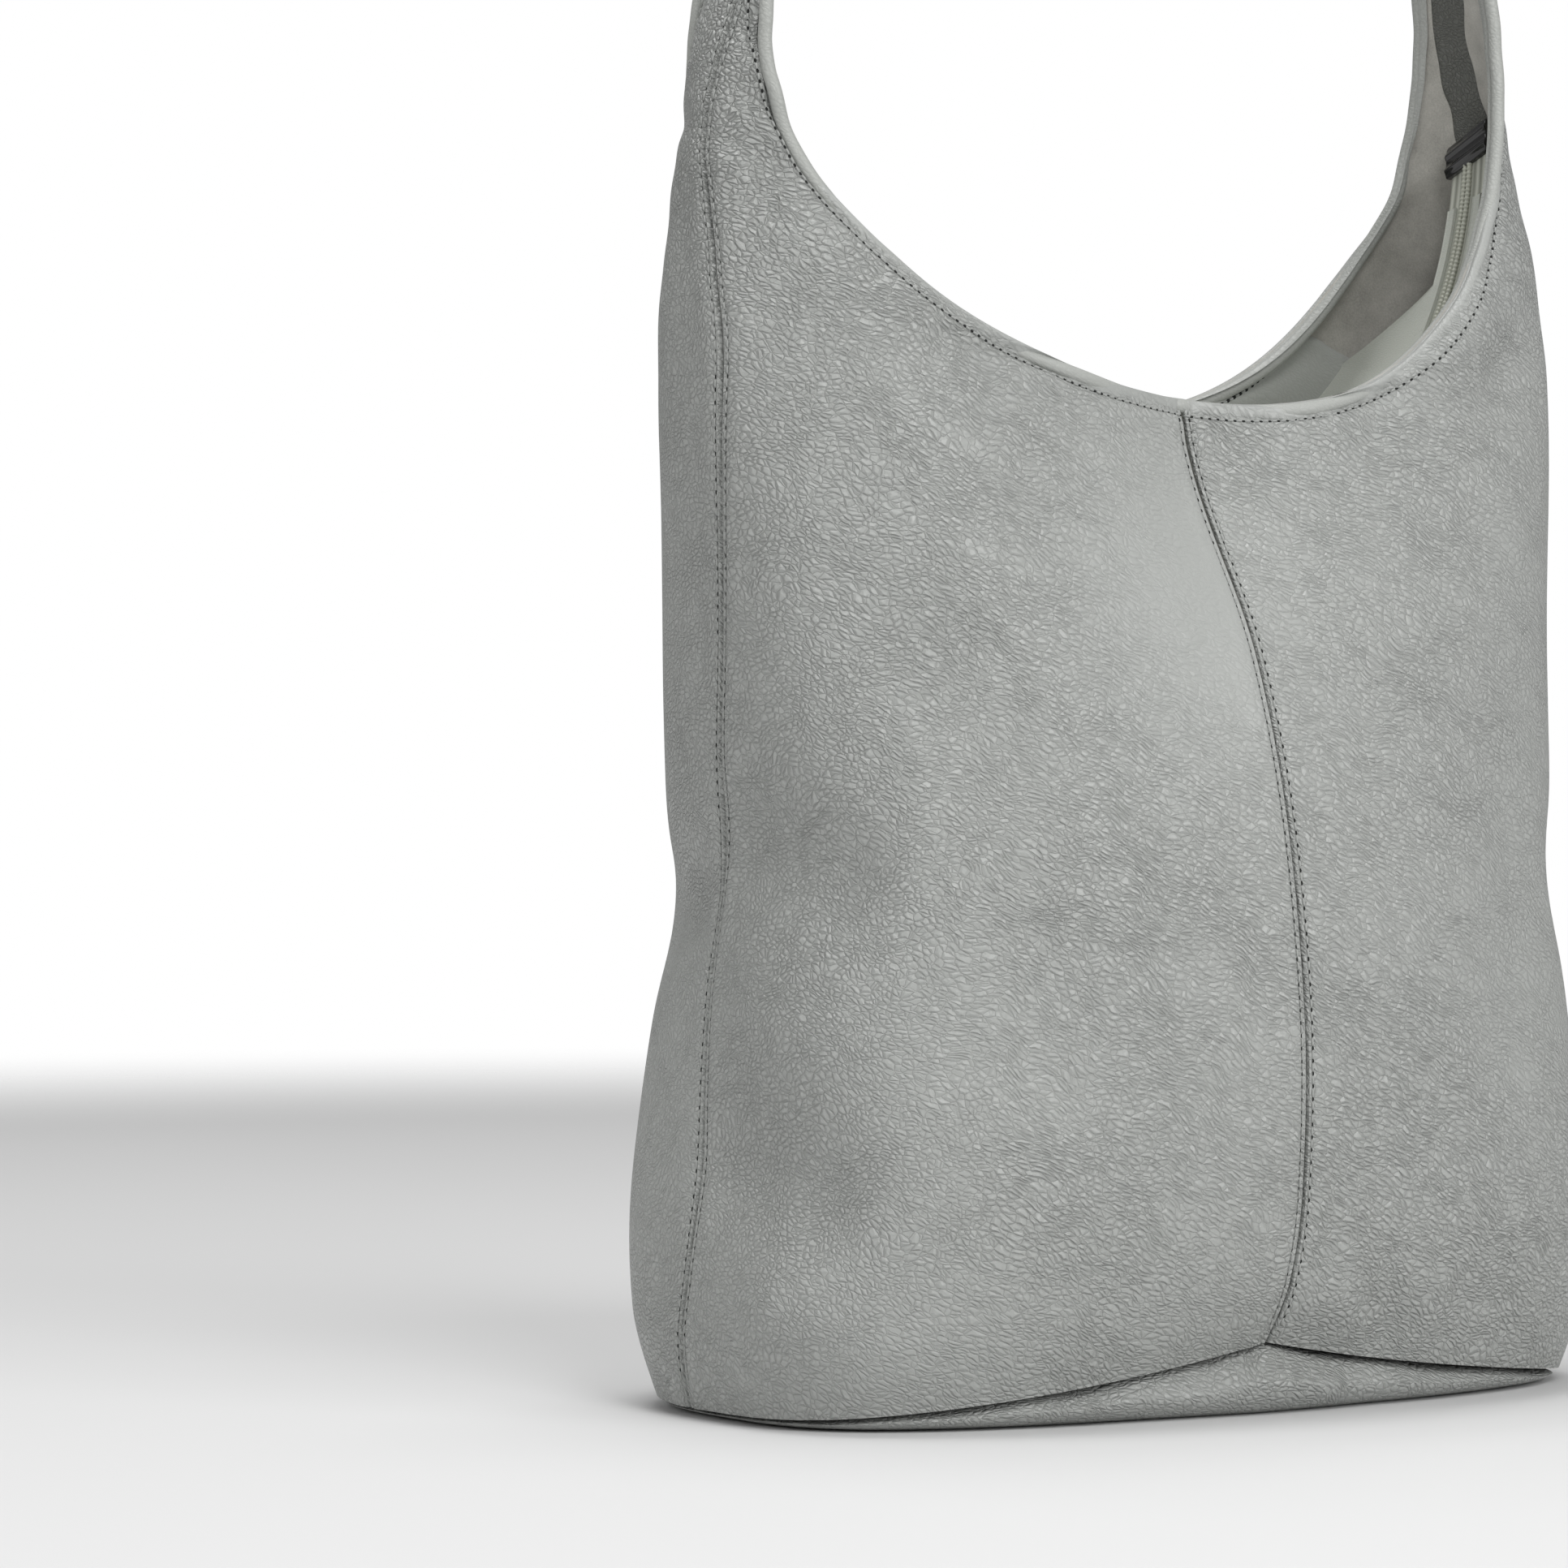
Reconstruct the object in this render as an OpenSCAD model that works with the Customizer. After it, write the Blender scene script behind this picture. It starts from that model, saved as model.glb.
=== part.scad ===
/* [Body] */
// Half the width across the side seams, at the base
base_half_w = 163; // [150:1:175]
// Half the width across the side seams, at the waist
waist_half_w = 152; // [140:1:165]
// Half the width across the side seams, level with the dip of the opening
shoulder_half_w = 166; // [155:1:175]
// Half the depth from front to back, at the base seam
base_half_d = 88; // [75:1:95]
// Half the depth at the fullest part of the belly
belly_half_d = 102; // [90:1:110]
// Half the depth of the lobes on each side of the opening's dip
mouth_half_d = 50; // [44:1:56]
// Height of the seam between the side panels and the base
base_seam_h = 10; // [8:1:14]
// How much higher that seam runs at the middle of the front and back
base_seam_lift = 13; // [6:1:16]
// Height of the opening's dip above the floor
dip_h = 322; // [315:1:330]

/* [Strap] */
// Overall height to the top of the strap
strap_top_h = 606; // [590:1:625]
// Half the width of the open strap loop
loop_half_w = 140; // [136:1:142]
// Height of the widest part of the strap loop
loop_mid_h = 440; // [435:1:445]
// Height of the strap's folded channel at its top
strap_channel_h = 18; // [15:1:22]
// Half the breadth of the strap from front to back
strap_half_d = 18; // [16:1:24]

/* [Leather and lining] */
// Thickness of the outer leather
leather_t = 1.4; // [1.1:0.1:1.6]
// Thickness of the suede lining
lining_t = 0.6; // [0.5:0.1:0.8]
// Gap between the leather and the lining or facing
lining_gap = 1.2; // [1.2:0.1:1.4]
// Gap between two flat or narrow layers
layer_gap = 0.3; // [0.3:0.1:0.4]
// Width of the leather turned in along the strap
hem_w = 10; // [8:1:12]
// Half the width of the leather strip that covers each side seam inside
side_strip_half_w = 8; // [6:1:9]

/* [Zip] */
// Radius of the curve that the zip hangs in
zip_r = 147; // [140:1:148]
// Height of the middle of that curve
zip_mid_h = 413; // [408:1:416]
// Angle from the lowest point to each end of the zip
zip_end_angle = 87; // [82:1:88]
// Distance from the chain to the wall at the middle of the bag
zip_mid_half_w = 54; // [46:1:56]
// The same distance at the ends of the zip
zip_end_half_w = 9; // [8:1:10]
// Width of one woven tape
zip_tape_w = 9; // [8:1:10]
// Width of one row of coil
zip_coil_w = 2; // [1.6:0.1:2.4]
// Angle along the curve where the slider rests when the zip is closed
slider_rest_angle = -77; // [-78:1:-70]
// Length of the pull tab
pull_len = 27; // [22:1:32]

/* [Hidden] */

outer_grey = [0.66, 0.67, 0.66];
suede_grey = [0.42, 0.40, 0.38];
strip_grey = [0.36, 0.37, 0.36];
tape_grey = [0.72, 0.74, 0.70];
glossy_black = [0.05, 0.05, 0.055];
steel_grey = [0.62, 0.62, 0.63];
board_brown = [0.60, 0.50, 0.36];

// Rows of the skin count up from the base seam: dip_row is level with the opening's dip,
// wing_row is where the wings end, strap_row is where the strap starts, top_row is its top.
dip_row = 4;
wing_row = 7.45;
strap_row = 8.05;
top_row = 11;
// One row: half width and height at the side seam, half depth, sweep of the arc from the
// side seam to the edge in degrees, squareness of that arc, and how far the edge is pinched in.
skin_rows = [
    [base_half_w, base_seam_h, base_half_d, 90, 3.0, 0],
    [base_half_w - 2, 62, belly_half_d, 90, 2.9, 0],
    [waist_half_w, 150, belly_half_d - 1, 90, 2.7, 0],
    [(waist_half_w + shoulder_half_w) / 2 - 1, 240, mouth_half_d + 30, 90, 2.7, 0.03],
    [shoulder_half_w, dip_h + 5, mouth_half_d + 5, 90, 2.9, 0.34],
    [shoulder_half_w - 1, 364, mouth_half_d - 2, 88, 2.6, 0.05],
    [loop_half_w + 16, 406, mouth_half_d - 12, 84, 2.3, 0],
    [loop_half_w + 7, 448, strap_half_d + 6, 72, 2.1, 0],
    [loop_half_w - 7, 498, strap_half_d + 1, 60, 2.0, 0],
    [loop_half_w - 27, strap_top_h - 57, strap_half_d, 60, 2.0, 0],
    [loop_half_w / 2 - 4, strap_top_h - 14, strap_half_d, 62, 2.0, 0],
    [0, strap_top_h, strap_half_d, 62, 2.0, 0],
    [4 - loop_half_w / 2, strap_top_h - 14, strap_half_d, 62, 2.0, 0]
];
// Height of the centre seam at each row up to the dip
centre_heights = [base_seam_h + base_seam_lift, 72, 155, 241, dip_h];
// Angle round the opening at each row from the dip to the top of the strap, and one past it
edge_angles = [-90, -70, -48, -12, 16, 40, 66, 90, 114];
// Squareness of the opening below and above its widest part
dip_square = 2.3;
top_square = 1.9;
loop_low = loop_mid_h - dip_h;
loop_high = strap_top_h - strap_channel_h - loop_mid_h;
// Width of the leather facing measured from the opening's edge, at each row
facing_from_row = 3.4;
facing_widths = [
    [facing_from_row, 26], [3.6, 72], [dip_row, 98], [5, 52], [5.6, 22], [6.1, hem_w], [top_row, hem_w]
];
// Grid steps of the skin and the share of a row left free at each seam
seam_share = 0.002;
slope_step = 0.004;
panel_cols = 13;
lining_cols = 11;
// How far each layer lies inside the outer surface
lining_out = -(leather_t + lining_gap);
lining_in = lining_out - lining_t;
facing_t = 1.0;
facing_in = lining_out - facing_t;
strip_t = 1.0;
strip_out = lining_in - 2 * layer_gap;
strip_in = strip_out - strip_t;
// The base: a leather pillow whose rim rolls out below the seam
base_steps = 12;
base_roll_r = 14;
base_bulge = 4;
base_roll_from = -45;
board_inset = 18;
board_t = 2;
board_z = leather_t + layer_gap + 0.3;
// The slider and its pull
slider_len = 11;
slider_w = 9;
slider_plate_t = 1.2;
slider_channel_h = 2.6;
bridge_h = 3.6;
bridge_z = slider_channel_h / 2 + slider_plate_t + bridge_h;
wedge_half_w = 0.7;
wedge_len = 1.6;
tape_slot_z = -1;
tape_slot_h = 1.3;
coil_lane_w = zip_coil_w + 0.4;
coil_lane_h = 2.9;
pull_w = 8;
pull_t = 1.6;
pull_hole_r = 1.2;
bridge_bar_r = 0.8;
// The end clips
clip_len = 9;
clip_w = 26;
clip_t = 3.2;
clip_ridge_r = 1;
clip_channel_h = 2.4;

// A smooth curve through a list of numbers or vectors, at position t along it
function spline(list, t) =
    let (last = len(list) - 1, i = min(max(floor(t), 0), last - 1), u = t - i)
    let (b = list[i], c = list[i + 1])
    let (a = i > 0 ? list[i - 1] : 2 * b - c, d = i + 1 < last ? list[i + 2] : 2 * c - b)
    0.5 * (2 * b + (c - a) * u + (2 * a - 5 * b + 4 * c - d) * u ^ 2 + (3 * b - a - 3 * c + d) * u ^ 3);

// Radius of a unit squared circle at an angle
function squared(angle, k) = (abs(cos(angle)) ^ k + abs(sin(angle)) ^ k) ^ (-1 / k);

// Point of the opening's edge in the XZ plane, at an angle round the loop
function loop_point(angle) =
    let (low = sin(angle) < 0, r = squared(angle, low ? dip_square : top_square))
    [loop_half_w * r * cos(angle), loop_mid_h + (low ? loop_low : loop_high) * r * sin(angle)];

// The centre seam up to the dip, then the edge of the opening
function edge_point(row) = row <= dip_row
    ? [0, spline(centre_heights, row)]
    : loop_point(spline(edge_angles, row - dip_row));

// Outer surface of the right half: v is 0 on the side seam, 1 on the front edge, -1 on the back edge
function skin(row, v) =
    let (s = spline(skin_rows, row), q = edge_point(row), sweep = s[3], k = s[4])
    let (angle = v * sweep, r = squared(angle, k), r_end = squared(sweep, k))
    let (across = (1 - r * cos(angle)) / (1 - r_end * cos(sweep)))
    let (out = r * sin(angle) / (r_end * sin(sweep)) * (1 - s[5] * v ^ 4))
    [s[0] + (q.x - s[0]) * across, -s[2] * out, s[1] + (q.y - s[1]) * across];

// Outward direction of the skin within its row
function skin_normal(row, v) =
    let (s = spline(skin_rows, row), q = edge_point(row), inward = [q.x - s[0], 0, q.y - s[1]])
    let (d = inward / norm(inward), slope = skin(row, v + slope_step) - skin(row, v - slope_step))
    let (n = d * slope.y - [0, 1, 0] * (slope * d))
    n / norm(n);

// A point of a layer that lies a distance outside the skin; rows past the top are on the left side
function layer_point(row, v, out) = row <= top_row
    ? skin(row, v) + out * skin_normal(row, v)
    : let (p = layer_point(2 * top_row - row, v, out)) [-p.x, p.y, p.z];

// Length of a row from the side seam to the edge
function row_length(row, steps = 8) =
    let (p = [for (i = [0:steps]) skin(row, i / steps)])
    let (parts = [for (i = [1:steps]) norm(p[i] - p[i - 1])])
    parts * [for (part = parts) 1];

// Where the facing ends and the lining starts, as a share of the row
function facing_share(row) = 1 - lookup(row, facing_widths) / row_length(row);

// Evenly spaced numbers
function steps_between(from, to, count) = [for (i = [0:count]) from + (to - from) * i / count];

function cell(a, b, c, d) = [[a, b, c], [a, c, d]];

// Border of a grid of points, as a closed list of indices
function border(rows, cols) = concat(
    [for (j = [0:cols - 1]) j],
    [for (i = [1:rows - 1]) i * cols + cols - 1],
    [for (j = [cols - 2:-1:0]) (rows - 1) * cols + j],
    [for (i = [rows - 2:-1:1]) i * cols]
);

// A closed sheet between two matching grids of points
module sheet(outer, inner) {
    rows = len(outer);
    cols = len(outer[0]);
    back = rows * cols;
    rim = border(rows, cols);
    points = concat([for (row = outer, p = row) p], [for (row = inner, p = row) p]);
    outer_faces = [
        for (i = [0:rows - 2], j = [0:cols - 2], f = cell(
            i * cols + j, i * cols + j + 1, (i + 1) * cols + j + 1, (i + 1) * cols + j
        )) f
    ];
    inner_faces = [for (f = outer_faces) [f[0] + back, f[2] + back, f[1] + back]];
    rim_faces = [
        for (k = [0:len(rim) - 1], f = cell(
            rim[k], rim[k] + back, rim[(k + 1) % len(rim)] + back, rim[(k + 1) % len(rim)]
        )) f
    ];
    polyhedron(points = points, faces = concat(outer_faces, inner_faces, rim_faces), convexity = 8);
}

// A layer of the skin over a grid of [row, v] places
module layer(grid, out, in) {
    sheet(
        [for (line = grid) [for (c = line) layer_point(c[0], c[1], out)]],
        [for (line = grid) [for (c = line) layer_point(c[0], c[1], in)]]
    );
}

// Rows of a full-height panel: closer together round the dip
panel_rows = concat(
    steps_between(0, 3, 9), steps_between(3.3, dip_row, 3),
    steps_between(4.15, 5.2, 7), steps_between(5.45, wing_row, 8)
);

module outer_panel() {
    grid = [for (row = panel_rows) [for (v = steps_between(seam_share, 1 - seam_share, panel_cols)) [row, v]]];
    layer(grid, 0, -leather_t);
}

module half_lining() {
    low_rows = steps_between(0.06, facing_from_row - 0.02, 9);
    high_rows = concat([facing_from_row], steps_between(3.6, 5.2, 8), steps_between(5.45, wing_row, 7));
    grid = concat(
        [for (row = low_rows) [for (v = steps_between(seam_share, 1 - seam_share, lining_cols)) [row, v]]],
        [for (row = high_rows)
            [for (v = steps_between(seam_share, facing_share(row) - seam_share, lining_cols)) [row, v]]]
    );
    layer(grid, lining_out, lining_in);
}

module half_facing() {
    rows = concat([facing_from_row], steps_between(3.6, 5.2, 8), steps_between(5.45, wing_row, 8));
    grid = [
        for (row = rows)
            [for (v = steps_between(facing_share(row) + seam_share, 1 - seam_share, 4)) [row, v]]
    ];
    layer(grid, lining_out, facing_in);
}

module both_sides() {
    children();
    mirror([1, 0, 0]) children();
}

module front_right_panel() {
    color(outer_grey) outer_panel();
}

module front_left_panel() {
    color(outer_grey) mirror([1, 0, 0]) outer_panel();
}

module back_right_panel() {
    color(outer_grey) mirror([0, 1, 0]) outer_panel();
}

module back_left_panel() {
    color(outer_grey) mirror([0, 1, 0]) mirror([1, 0, 0]) outer_panel();
}

module front_lining() {
    color(suede_grey) both_sides() half_lining();
}

module back_lining() {
    color(suede_grey) mirror([0, 1, 0]) both_sides() half_lining();
}

module front_facing() {
    color(outer_grey) both_sides() half_facing();
}

module back_facing() {
    color(outer_grey) mirror([0, 1, 0]) both_sides() half_facing();
}

// Leather strip over the side seam, inside
module side_strip() {
    grid = [
        for (row = steps_between(5.6, wing_row, 12))
            let (share = side_strip_half_w / row_length(row))
            [for (v = steps_between(-share, share, 4)) [row, v]]
    ];
    layer(grid, strip_out, strip_in);
}

module right_side_strip() {
    color(strip_grey) side_strip();
}

module left_side_strip() {
    color(strip_grey) mirror([1, 0, 0]) side_strip();
}

// The part of each wing that bends when the strap is laid over
module strap_flex() {
    edge = 1 - seam_share;
    rows = steps_between(wing_row + 0.01, strap_row - 0.01, 4);
    grid = [for (row = rows) [for (v = steps_between(-edge, edge, 12)) [row, v]]];
    layer(grid, 0, lining_in);
}

module right_strap_flex() {
    color(outer_grey) strap_flex();
}

module left_strap_flex() {
    color(outer_grey) mirror([1, 0, 0]) strap_flex();
}

strap_rows = steps_between(strap_row, 2 * top_row - strap_row, 32);

module strap_half() {
    grid = [for (row = strap_rows) [for (v = steps_between(seam_share, 1 - seam_share, 5)) [row, v]]];
    layer(grid, 0, -leather_t);
}

module strap_front() {
    color(outer_grey) strap_half();
}

module strap_back() {
    color(outer_grey) mirror([0, 1, 0]) strap_half();
}

module strap_lining() {
    edge = 1 - seam_share;
    grid = [for (row = strap_rows) [for (v = steps_between(-edge, edge, 8)) [row, v]]];
    color(suede_grey) layer(grid, lining_out, lining_in);
}

// Outline of the base at the seam, moved out by a distance: a closed list of XYZ points
function base_quarter(out) = [
    for (v = steps_between(0, 1, base_steps))
        let (n = skin_normal(0, v), flat = [n.x, n.y, 0] / norm([n.x, n.y]))
        skin(0, v) + out * flat
];
function base_ring(out) =
    let (q = base_quarter(out), last = base_steps)
    concat(
        [for (i = [0:last]) [q[i].x, q[i].y, q[i].z]],
        [for (i = [last - 1:-1:0]) [-q[i].x, q[i].y, q[i].z]],
        [for (i = [1:last]) [-q[i].x, -q[i].y, q[i].z]],
        [for (i = [last - 1:-1:1]) [q[i].x, -q[i].y, q[i].z]]
    );

// One ring of the base's rolled rim, at an angle round the roll and a distance inside it
function roll_ring(angle, inside) =
    let (out = base_roll_r * (cos(angle) - 1) + base_bulge - inside * cos(angle))
    [for (p = base_ring(out)) [p.x, p.y, (p.z - 0.6) / 2 * (1 - sin(angle)) + inside * max(sin(angle), 0)]];

module bottom_panel() {
    angles = steps_between(base_roll_from, 90, 7);
    outer = [for (angle = angles) roll_ring(angle, 0)];
    inner = [for (angle = angles) roll_ring(angle, leather_t)];
    rings = concat(outer, [for (i = [len(inner) - 1:-1:0]) inner[i]]);
    count = len(outer[0]);
    levels = len(outer);
    walls = [
        for (i = [0:2 * levels - 1], j = [0:count - 1])
            if (i != levels - 1)
                for (f = cell(
                    i * count + j, (i + 1) % (2 * levels) * count + j,
                    (i + 1) % (2 * levels) * count + (j + 1) % count, i * count + (j + 1) % count
                )) f
    ];
    under = [for (j = [count - 1:-1:0]) (levels - 1) * count + j];
    over = [for (j = [0:count - 1]) levels * count + j];
    color(outer_grey)
        polyhedron(points = [for (ring = rings, p = ring) p], faces = concat(walls, [under, over]), convexity = 6);
}

module base_sheet(inset, z, t) {
    translate([0, 0, z]) linear_extrude(t) polygon([for (p = base_ring(-inset)) [p.x, p.y]]);
}

module base_board() {
    color(board_brown) base_sheet(board_inset, board_z, board_t);
}

module bottom_lining() {
    color(suede_grey) base_sheet(board_inset - 10, board_z + board_t + layer_gap, lining_t);
}

// Turns a profile of [distance from the curve's middle, y] into a strip along the zip's curve
module along_zip(from, to) {
    translate([0, 0, zip_mid_h]) rotate([90, 0, 0]) rotate([0, 0, from - 90])
        rotate_extrude(angle = to - from, $fn = 128) children();
}

// Moves something built at the lowest point of the curve to an angle along it
module at_zip(angle) {
    translate([0, 0, zip_mid_h]) rotate([0, -angle, 0]) translate([0, 0, -zip_r]) children();
}

module half_tape() {
    along_zip(-zip_end_angle, zip_end_angle)
        translate([zip_r, zip_coil_w / 2]) square([0.7, zip_tape_w - zip_coil_w / 2]);
}

module half_coil() {
    along_zip(slider_rest_angle - 1.4, zip_end_angle)
        translate([zip_r - 1.5, 0.15]) square([1.3, zip_coil_w - 0.15]);
}

module front_zip_tape() {
    color(tape_grey) half_tape();
}

module back_zip_tape() {
    color(tape_grey) mirror([0, 1, 0]) half_tape();
}

module front_zip_coil() {
    color(tape_grey) half_coil();
}

module back_zip_coil() {
    color(tape_grey) mirror([0, 1, 0]) half_coil();
}

// Leather strip between the tape and the wall: it narrows towards the ends of the zip
function strip_point(angle, share, lift) =
    let (wall = zip_end_half_w + (zip_mid_half_w - zip_end_half_w) * cos(angle) ^ 0.8)
    let (r = zip_r - lift)
    [r * sin(angle), -(5 + (wall - 5) * share), zip_mid_h - r * cos(angle)];

module zip_strip() {
    angles = steps_between(zip_end_angle - 6, 6 - zip_end_angle, 26);
    sheet(
        [for (angle = angles) [for (share = [0:0.5:1]) strip_point(angle, share, 1.1)]],
        [for (angle = angles) [for (share = [0:0.5:1]) strip_point(angle, share, 0.3)]]
    );
}

module front_zip_strip() {
    color(outer_grey) zip_strip();
}

module back_zip_strip() {
    color(outer_grey) mirror([0, 1, 0]) zip_strip();
}

// Folded clip over the end of the tapes, with two ridges across it
module zip_end_clip(angle) {
    at_zip(angle) difference() {
        union() {
            translate([-clip_len / 2, -clip_w / 2, -clip_t / 2]) cube([clip_len, clip_w, clip_t]);
            for (x = [-clip_len / 4, clip_len / 4])
                translate([x, 0, clip_t / 2]) rotate([90, 0, 0])
                    cylinder(r = clip_ridge_r, h = clip_w, center = true, $fn = 24);
        }
        translate([-clip_len, -zip_tape_w - 1, -clip_channel_h / 2 + 0.4])
            cube([2 * clip_len, 2 * zip_tape_w + 2, clip_channel_h]);
    }
}

module right_zip_end_clip() {
    color(glossy_black) zip_end_clip(zip_end_angle - 1);
}

module left_zip_end_clip() {
    color(glossy_black) zip_end_clip(1 - zip_end_angle);
}

// Slider: a plate above and below the coil, joined by a wedge, with a bridge for the pull
module zip_slider() {
    color(steel_grey) at_zip(slider_rest_angle) difference() {
        union() {
            translate([-slider_len / 2, -slider_w / 2, -slider_channel_h / 2 - slider_plate_t])
                cube([slider_len, slider_w, slider_channel_h + 2 * slider_plate_t]);
            translate([0, 0, bridge_z]) rotate([90, 0, 0])
                cylinder(r = bridge_bar_r, h = slider_w - 2, center = true, $fn = 32);
            for (y = [-slider_w / 2 + 0.9, slider_w / 2 - 0.9])
                translate([0, y, bridge_z / 2]) cube([3, 1.4, bridge_z], center = true);
        }
        for (side = [-1, 1]) {
            translate([-slider_len, side > 0 ? wedge_half_w : -slider_w, tape_slot_z])
                cube([2 * slider_len, slider_w - wedge_half_w, tape_slot_h]);
            translate([-slider_len, side > 0 ? wedge_half_w : -coil_lane_w, tape_slot_z])
                cube([2 * slider_len, coil_lane_w - wedge_half_w, coil_lane_h]);
        }
        translate([wedge_len - slider_len / 2, -slider_w, tape_slot_z])
            cube([slider_len, 2 * slider_w, tape_slot_h]);
        translate([wedge_len - slider_len / 2, -coil_lane_w, tape_slot_z])
            cube([slider_len, 2 * coil_lane_w, coil_lane_h]);
    }
}

// Pull tab with a hole that turns on the slider's bridge
module zip_pull() {
    color(steel_grey) at_zip(slider_rest_angle) translate([0, 0, bridge_z]) difference() {
        union() {
            rotate([90, 0, 0]) cylinder(r = 2.4, h = 4.4, center = true, $fn = 48);
            translate([0, -2.2, -pull_t / 2]) cube([8, 4.4, pull_t]);
            translate([7, -pull_w / 2, -pull_t / 2]) cube([pull_len - 7 - pull_w / 2, pull_w, pull_t]);
            translate([pull_len - pull_w / 2, 0, 0]) cylinder(d = pull_w, h = pull_t, center = true, $fn = 48);
        }
        rotate([90, 0, 0]) cylinder(r = pull_hole_r, h = 6, center = true, $fn = 48);
    }
}

front_left_panel();
front_right_panel();
back_left_panel();
back_right_panel();
bottom_panel();
base_board();
front_facing();
back_facing();
front_lining();
back_lining();
bottom_lining();
left_side_strip();
right_side_strip();
left_strap_flex();
right_strap_flex();
strap_front();
strap_back();
strap_lining();
front_zip_strip();
back_zip_strip();
front_zip_tape();
back_zip_tape();
front_zip_coil();
back_zip_coil();
left_zip_end_clip();
right_zip_end_clip();
zip_slider();
zip_pull();
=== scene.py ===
import bpy
import math
import numpy as np
from mathutils import Matrix, Vector
from mathutils.bvhtree import BVHTree


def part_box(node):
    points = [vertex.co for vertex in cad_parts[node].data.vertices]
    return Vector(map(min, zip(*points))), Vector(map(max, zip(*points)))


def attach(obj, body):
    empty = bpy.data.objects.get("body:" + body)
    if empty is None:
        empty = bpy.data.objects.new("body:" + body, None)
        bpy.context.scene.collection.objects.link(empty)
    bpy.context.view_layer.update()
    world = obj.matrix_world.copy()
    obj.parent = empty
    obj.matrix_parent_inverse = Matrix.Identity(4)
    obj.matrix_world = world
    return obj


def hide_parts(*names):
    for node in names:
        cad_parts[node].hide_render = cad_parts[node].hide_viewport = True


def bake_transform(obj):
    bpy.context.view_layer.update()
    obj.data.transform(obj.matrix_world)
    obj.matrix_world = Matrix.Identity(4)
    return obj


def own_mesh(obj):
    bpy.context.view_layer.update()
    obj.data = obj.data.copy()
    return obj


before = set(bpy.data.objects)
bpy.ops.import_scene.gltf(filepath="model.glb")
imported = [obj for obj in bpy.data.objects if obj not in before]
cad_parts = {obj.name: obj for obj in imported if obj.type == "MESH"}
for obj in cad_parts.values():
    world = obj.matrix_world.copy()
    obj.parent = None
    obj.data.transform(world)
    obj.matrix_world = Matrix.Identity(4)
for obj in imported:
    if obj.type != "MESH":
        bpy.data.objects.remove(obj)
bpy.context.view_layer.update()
mm = 0.001

# the bag's own sizes in mm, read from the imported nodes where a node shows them
bag = {
    "strapTop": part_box("strap_front")[1][2] / mm,
    "baseHalfW": 163, "waistHalfW": 152, "shoulderHalfW": 166,
    "baseHalfD": 88, "bellyHalfD": 102, "mouthHalfD": 50,
    "seamH": 10, "seamLift": 13, "dipH": 322,
    "loopHalfW": 140, "loopMidH": 440, "channelH": 18, "strapHalfD": 18,
}
dipRow = 4  # the row level with the opening's dip
topRow = 11  # the row across the top of the strap
lapRow = 8.4  # where the wings end, under the strap
strapRow = 8.22  # where the strap starts, lapped over the wings

# one row of the skin: half width and height at the side seam, half depth, sweep of its arc in degrees,
# squareness of the arc, and how far the edge is pinched in
skinRows = np.array([
    [bag["baseHalfW"], bag["seamH"], bag["baseHalfD"], 90, 3.0, 0],
    [bag["baseHalfW"] - 2, 62, bag["bellyHalfD"], 90, 2.9, 0],
    [bag["waistHalfW"], 150, bag["bellyHalfD"] - 1, 90, 2.7, 0],
    [(bag["waistHalfW"] + bag["shoulderHalfW"]) / 2 - 1, 240, bag["mouthHalfD"] + 30, 90, 2.7, 0.03],
    [bag["shoulderHalfW"], bag["dipH"] + 5, bag["mouthHalfD"] + 5, 90, 2.9, 0.34],
    [bag["shoulderHalfW"] - 1, 364, bag["mouthHalfD"] - 2, 88, 2.6, 0.05],
    [bag["loopHalfW"] + 16, 406, bag["mouthHalfD"] - 12, 84, 2.3, 0],
    [bag["loopHalfW"] + 7, 448, bag["strapHalfD"] + 6, 72, 2.1, 0],
    [bag["loopHalfW"] - 7, 498, bag["strapHalfD"] + 1, 60, 2.0, 0],
    [bag["loopHalfW"] - 27, bag["strapTop"] - 57, bag["strapHalfD"], 60, 2.0, 0],
    [bag["loopHalfW"] / 2 - 4, bag["strapTop"] - 14, bag["strapHalfD"], 62, 2.0, 0],
    [0, bag["strapTop"], bag["strapHalfD"], 62, 2.0, 0],
    [4 - bag["loopHalfW"] / 2, bag["strapTop"] - 14, bag["strapHalfD"], 62, 2.0, 0],
])
centreHeights = np.array([[bag["seamH"] + bag["seamLift"]], [72], [155], [241], [bag["dipH"]]])
edgeAngles = np.array([[-90], [-70], [-48], [-12], [16], [40], [66], [90], [114]])
loopLow = bag["loopMidH"] - bag["dipH"]
loopHigh = bag["strapTop"] - bag["channelH"] - bag["loopMidH"]


def spline(values, t):
    # a smooth curve through evenly numbered rows: each stretch is a cubic whose end slopes
    # follow its neighbours
    last = len(values) - 1
    padded = np.vstack([2 * values[0] - values[1], values, 2 * values[-1] - values[-2]])
    i = np.clip(np.floor(t).astype(int), 0, last - 1)
    u = (t - i)[..., None]
    a, b, c, d = (padded[i + k] for k in range(4))
    return 0.5 * (2 * b + (c - a) * u + (2 * a - 5 * b + 4 * c - d) * u**2 + (3 * b - a - 3 * c + d) * u**3)


def squared(angle, k):
    # radius of a unit squared circle: one over the k-th root of |cos|^k + |sin|^k
    return (np.abs(np.cos(angle)) ** k + np.abs(np.sin(angle)) ** k) ** (-1 / k)


def bell(d, middle, reach):
    # a bell curve: e to the power of minus the square of (d less its middle, over its reach)
    return np.exp(-(((d - middle) / reach) ** 2))


def circle(count):
    # evenly spaced angles once round
    return np.linspace(0, 2 * np.pi, count, endpoint=False)


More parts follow.
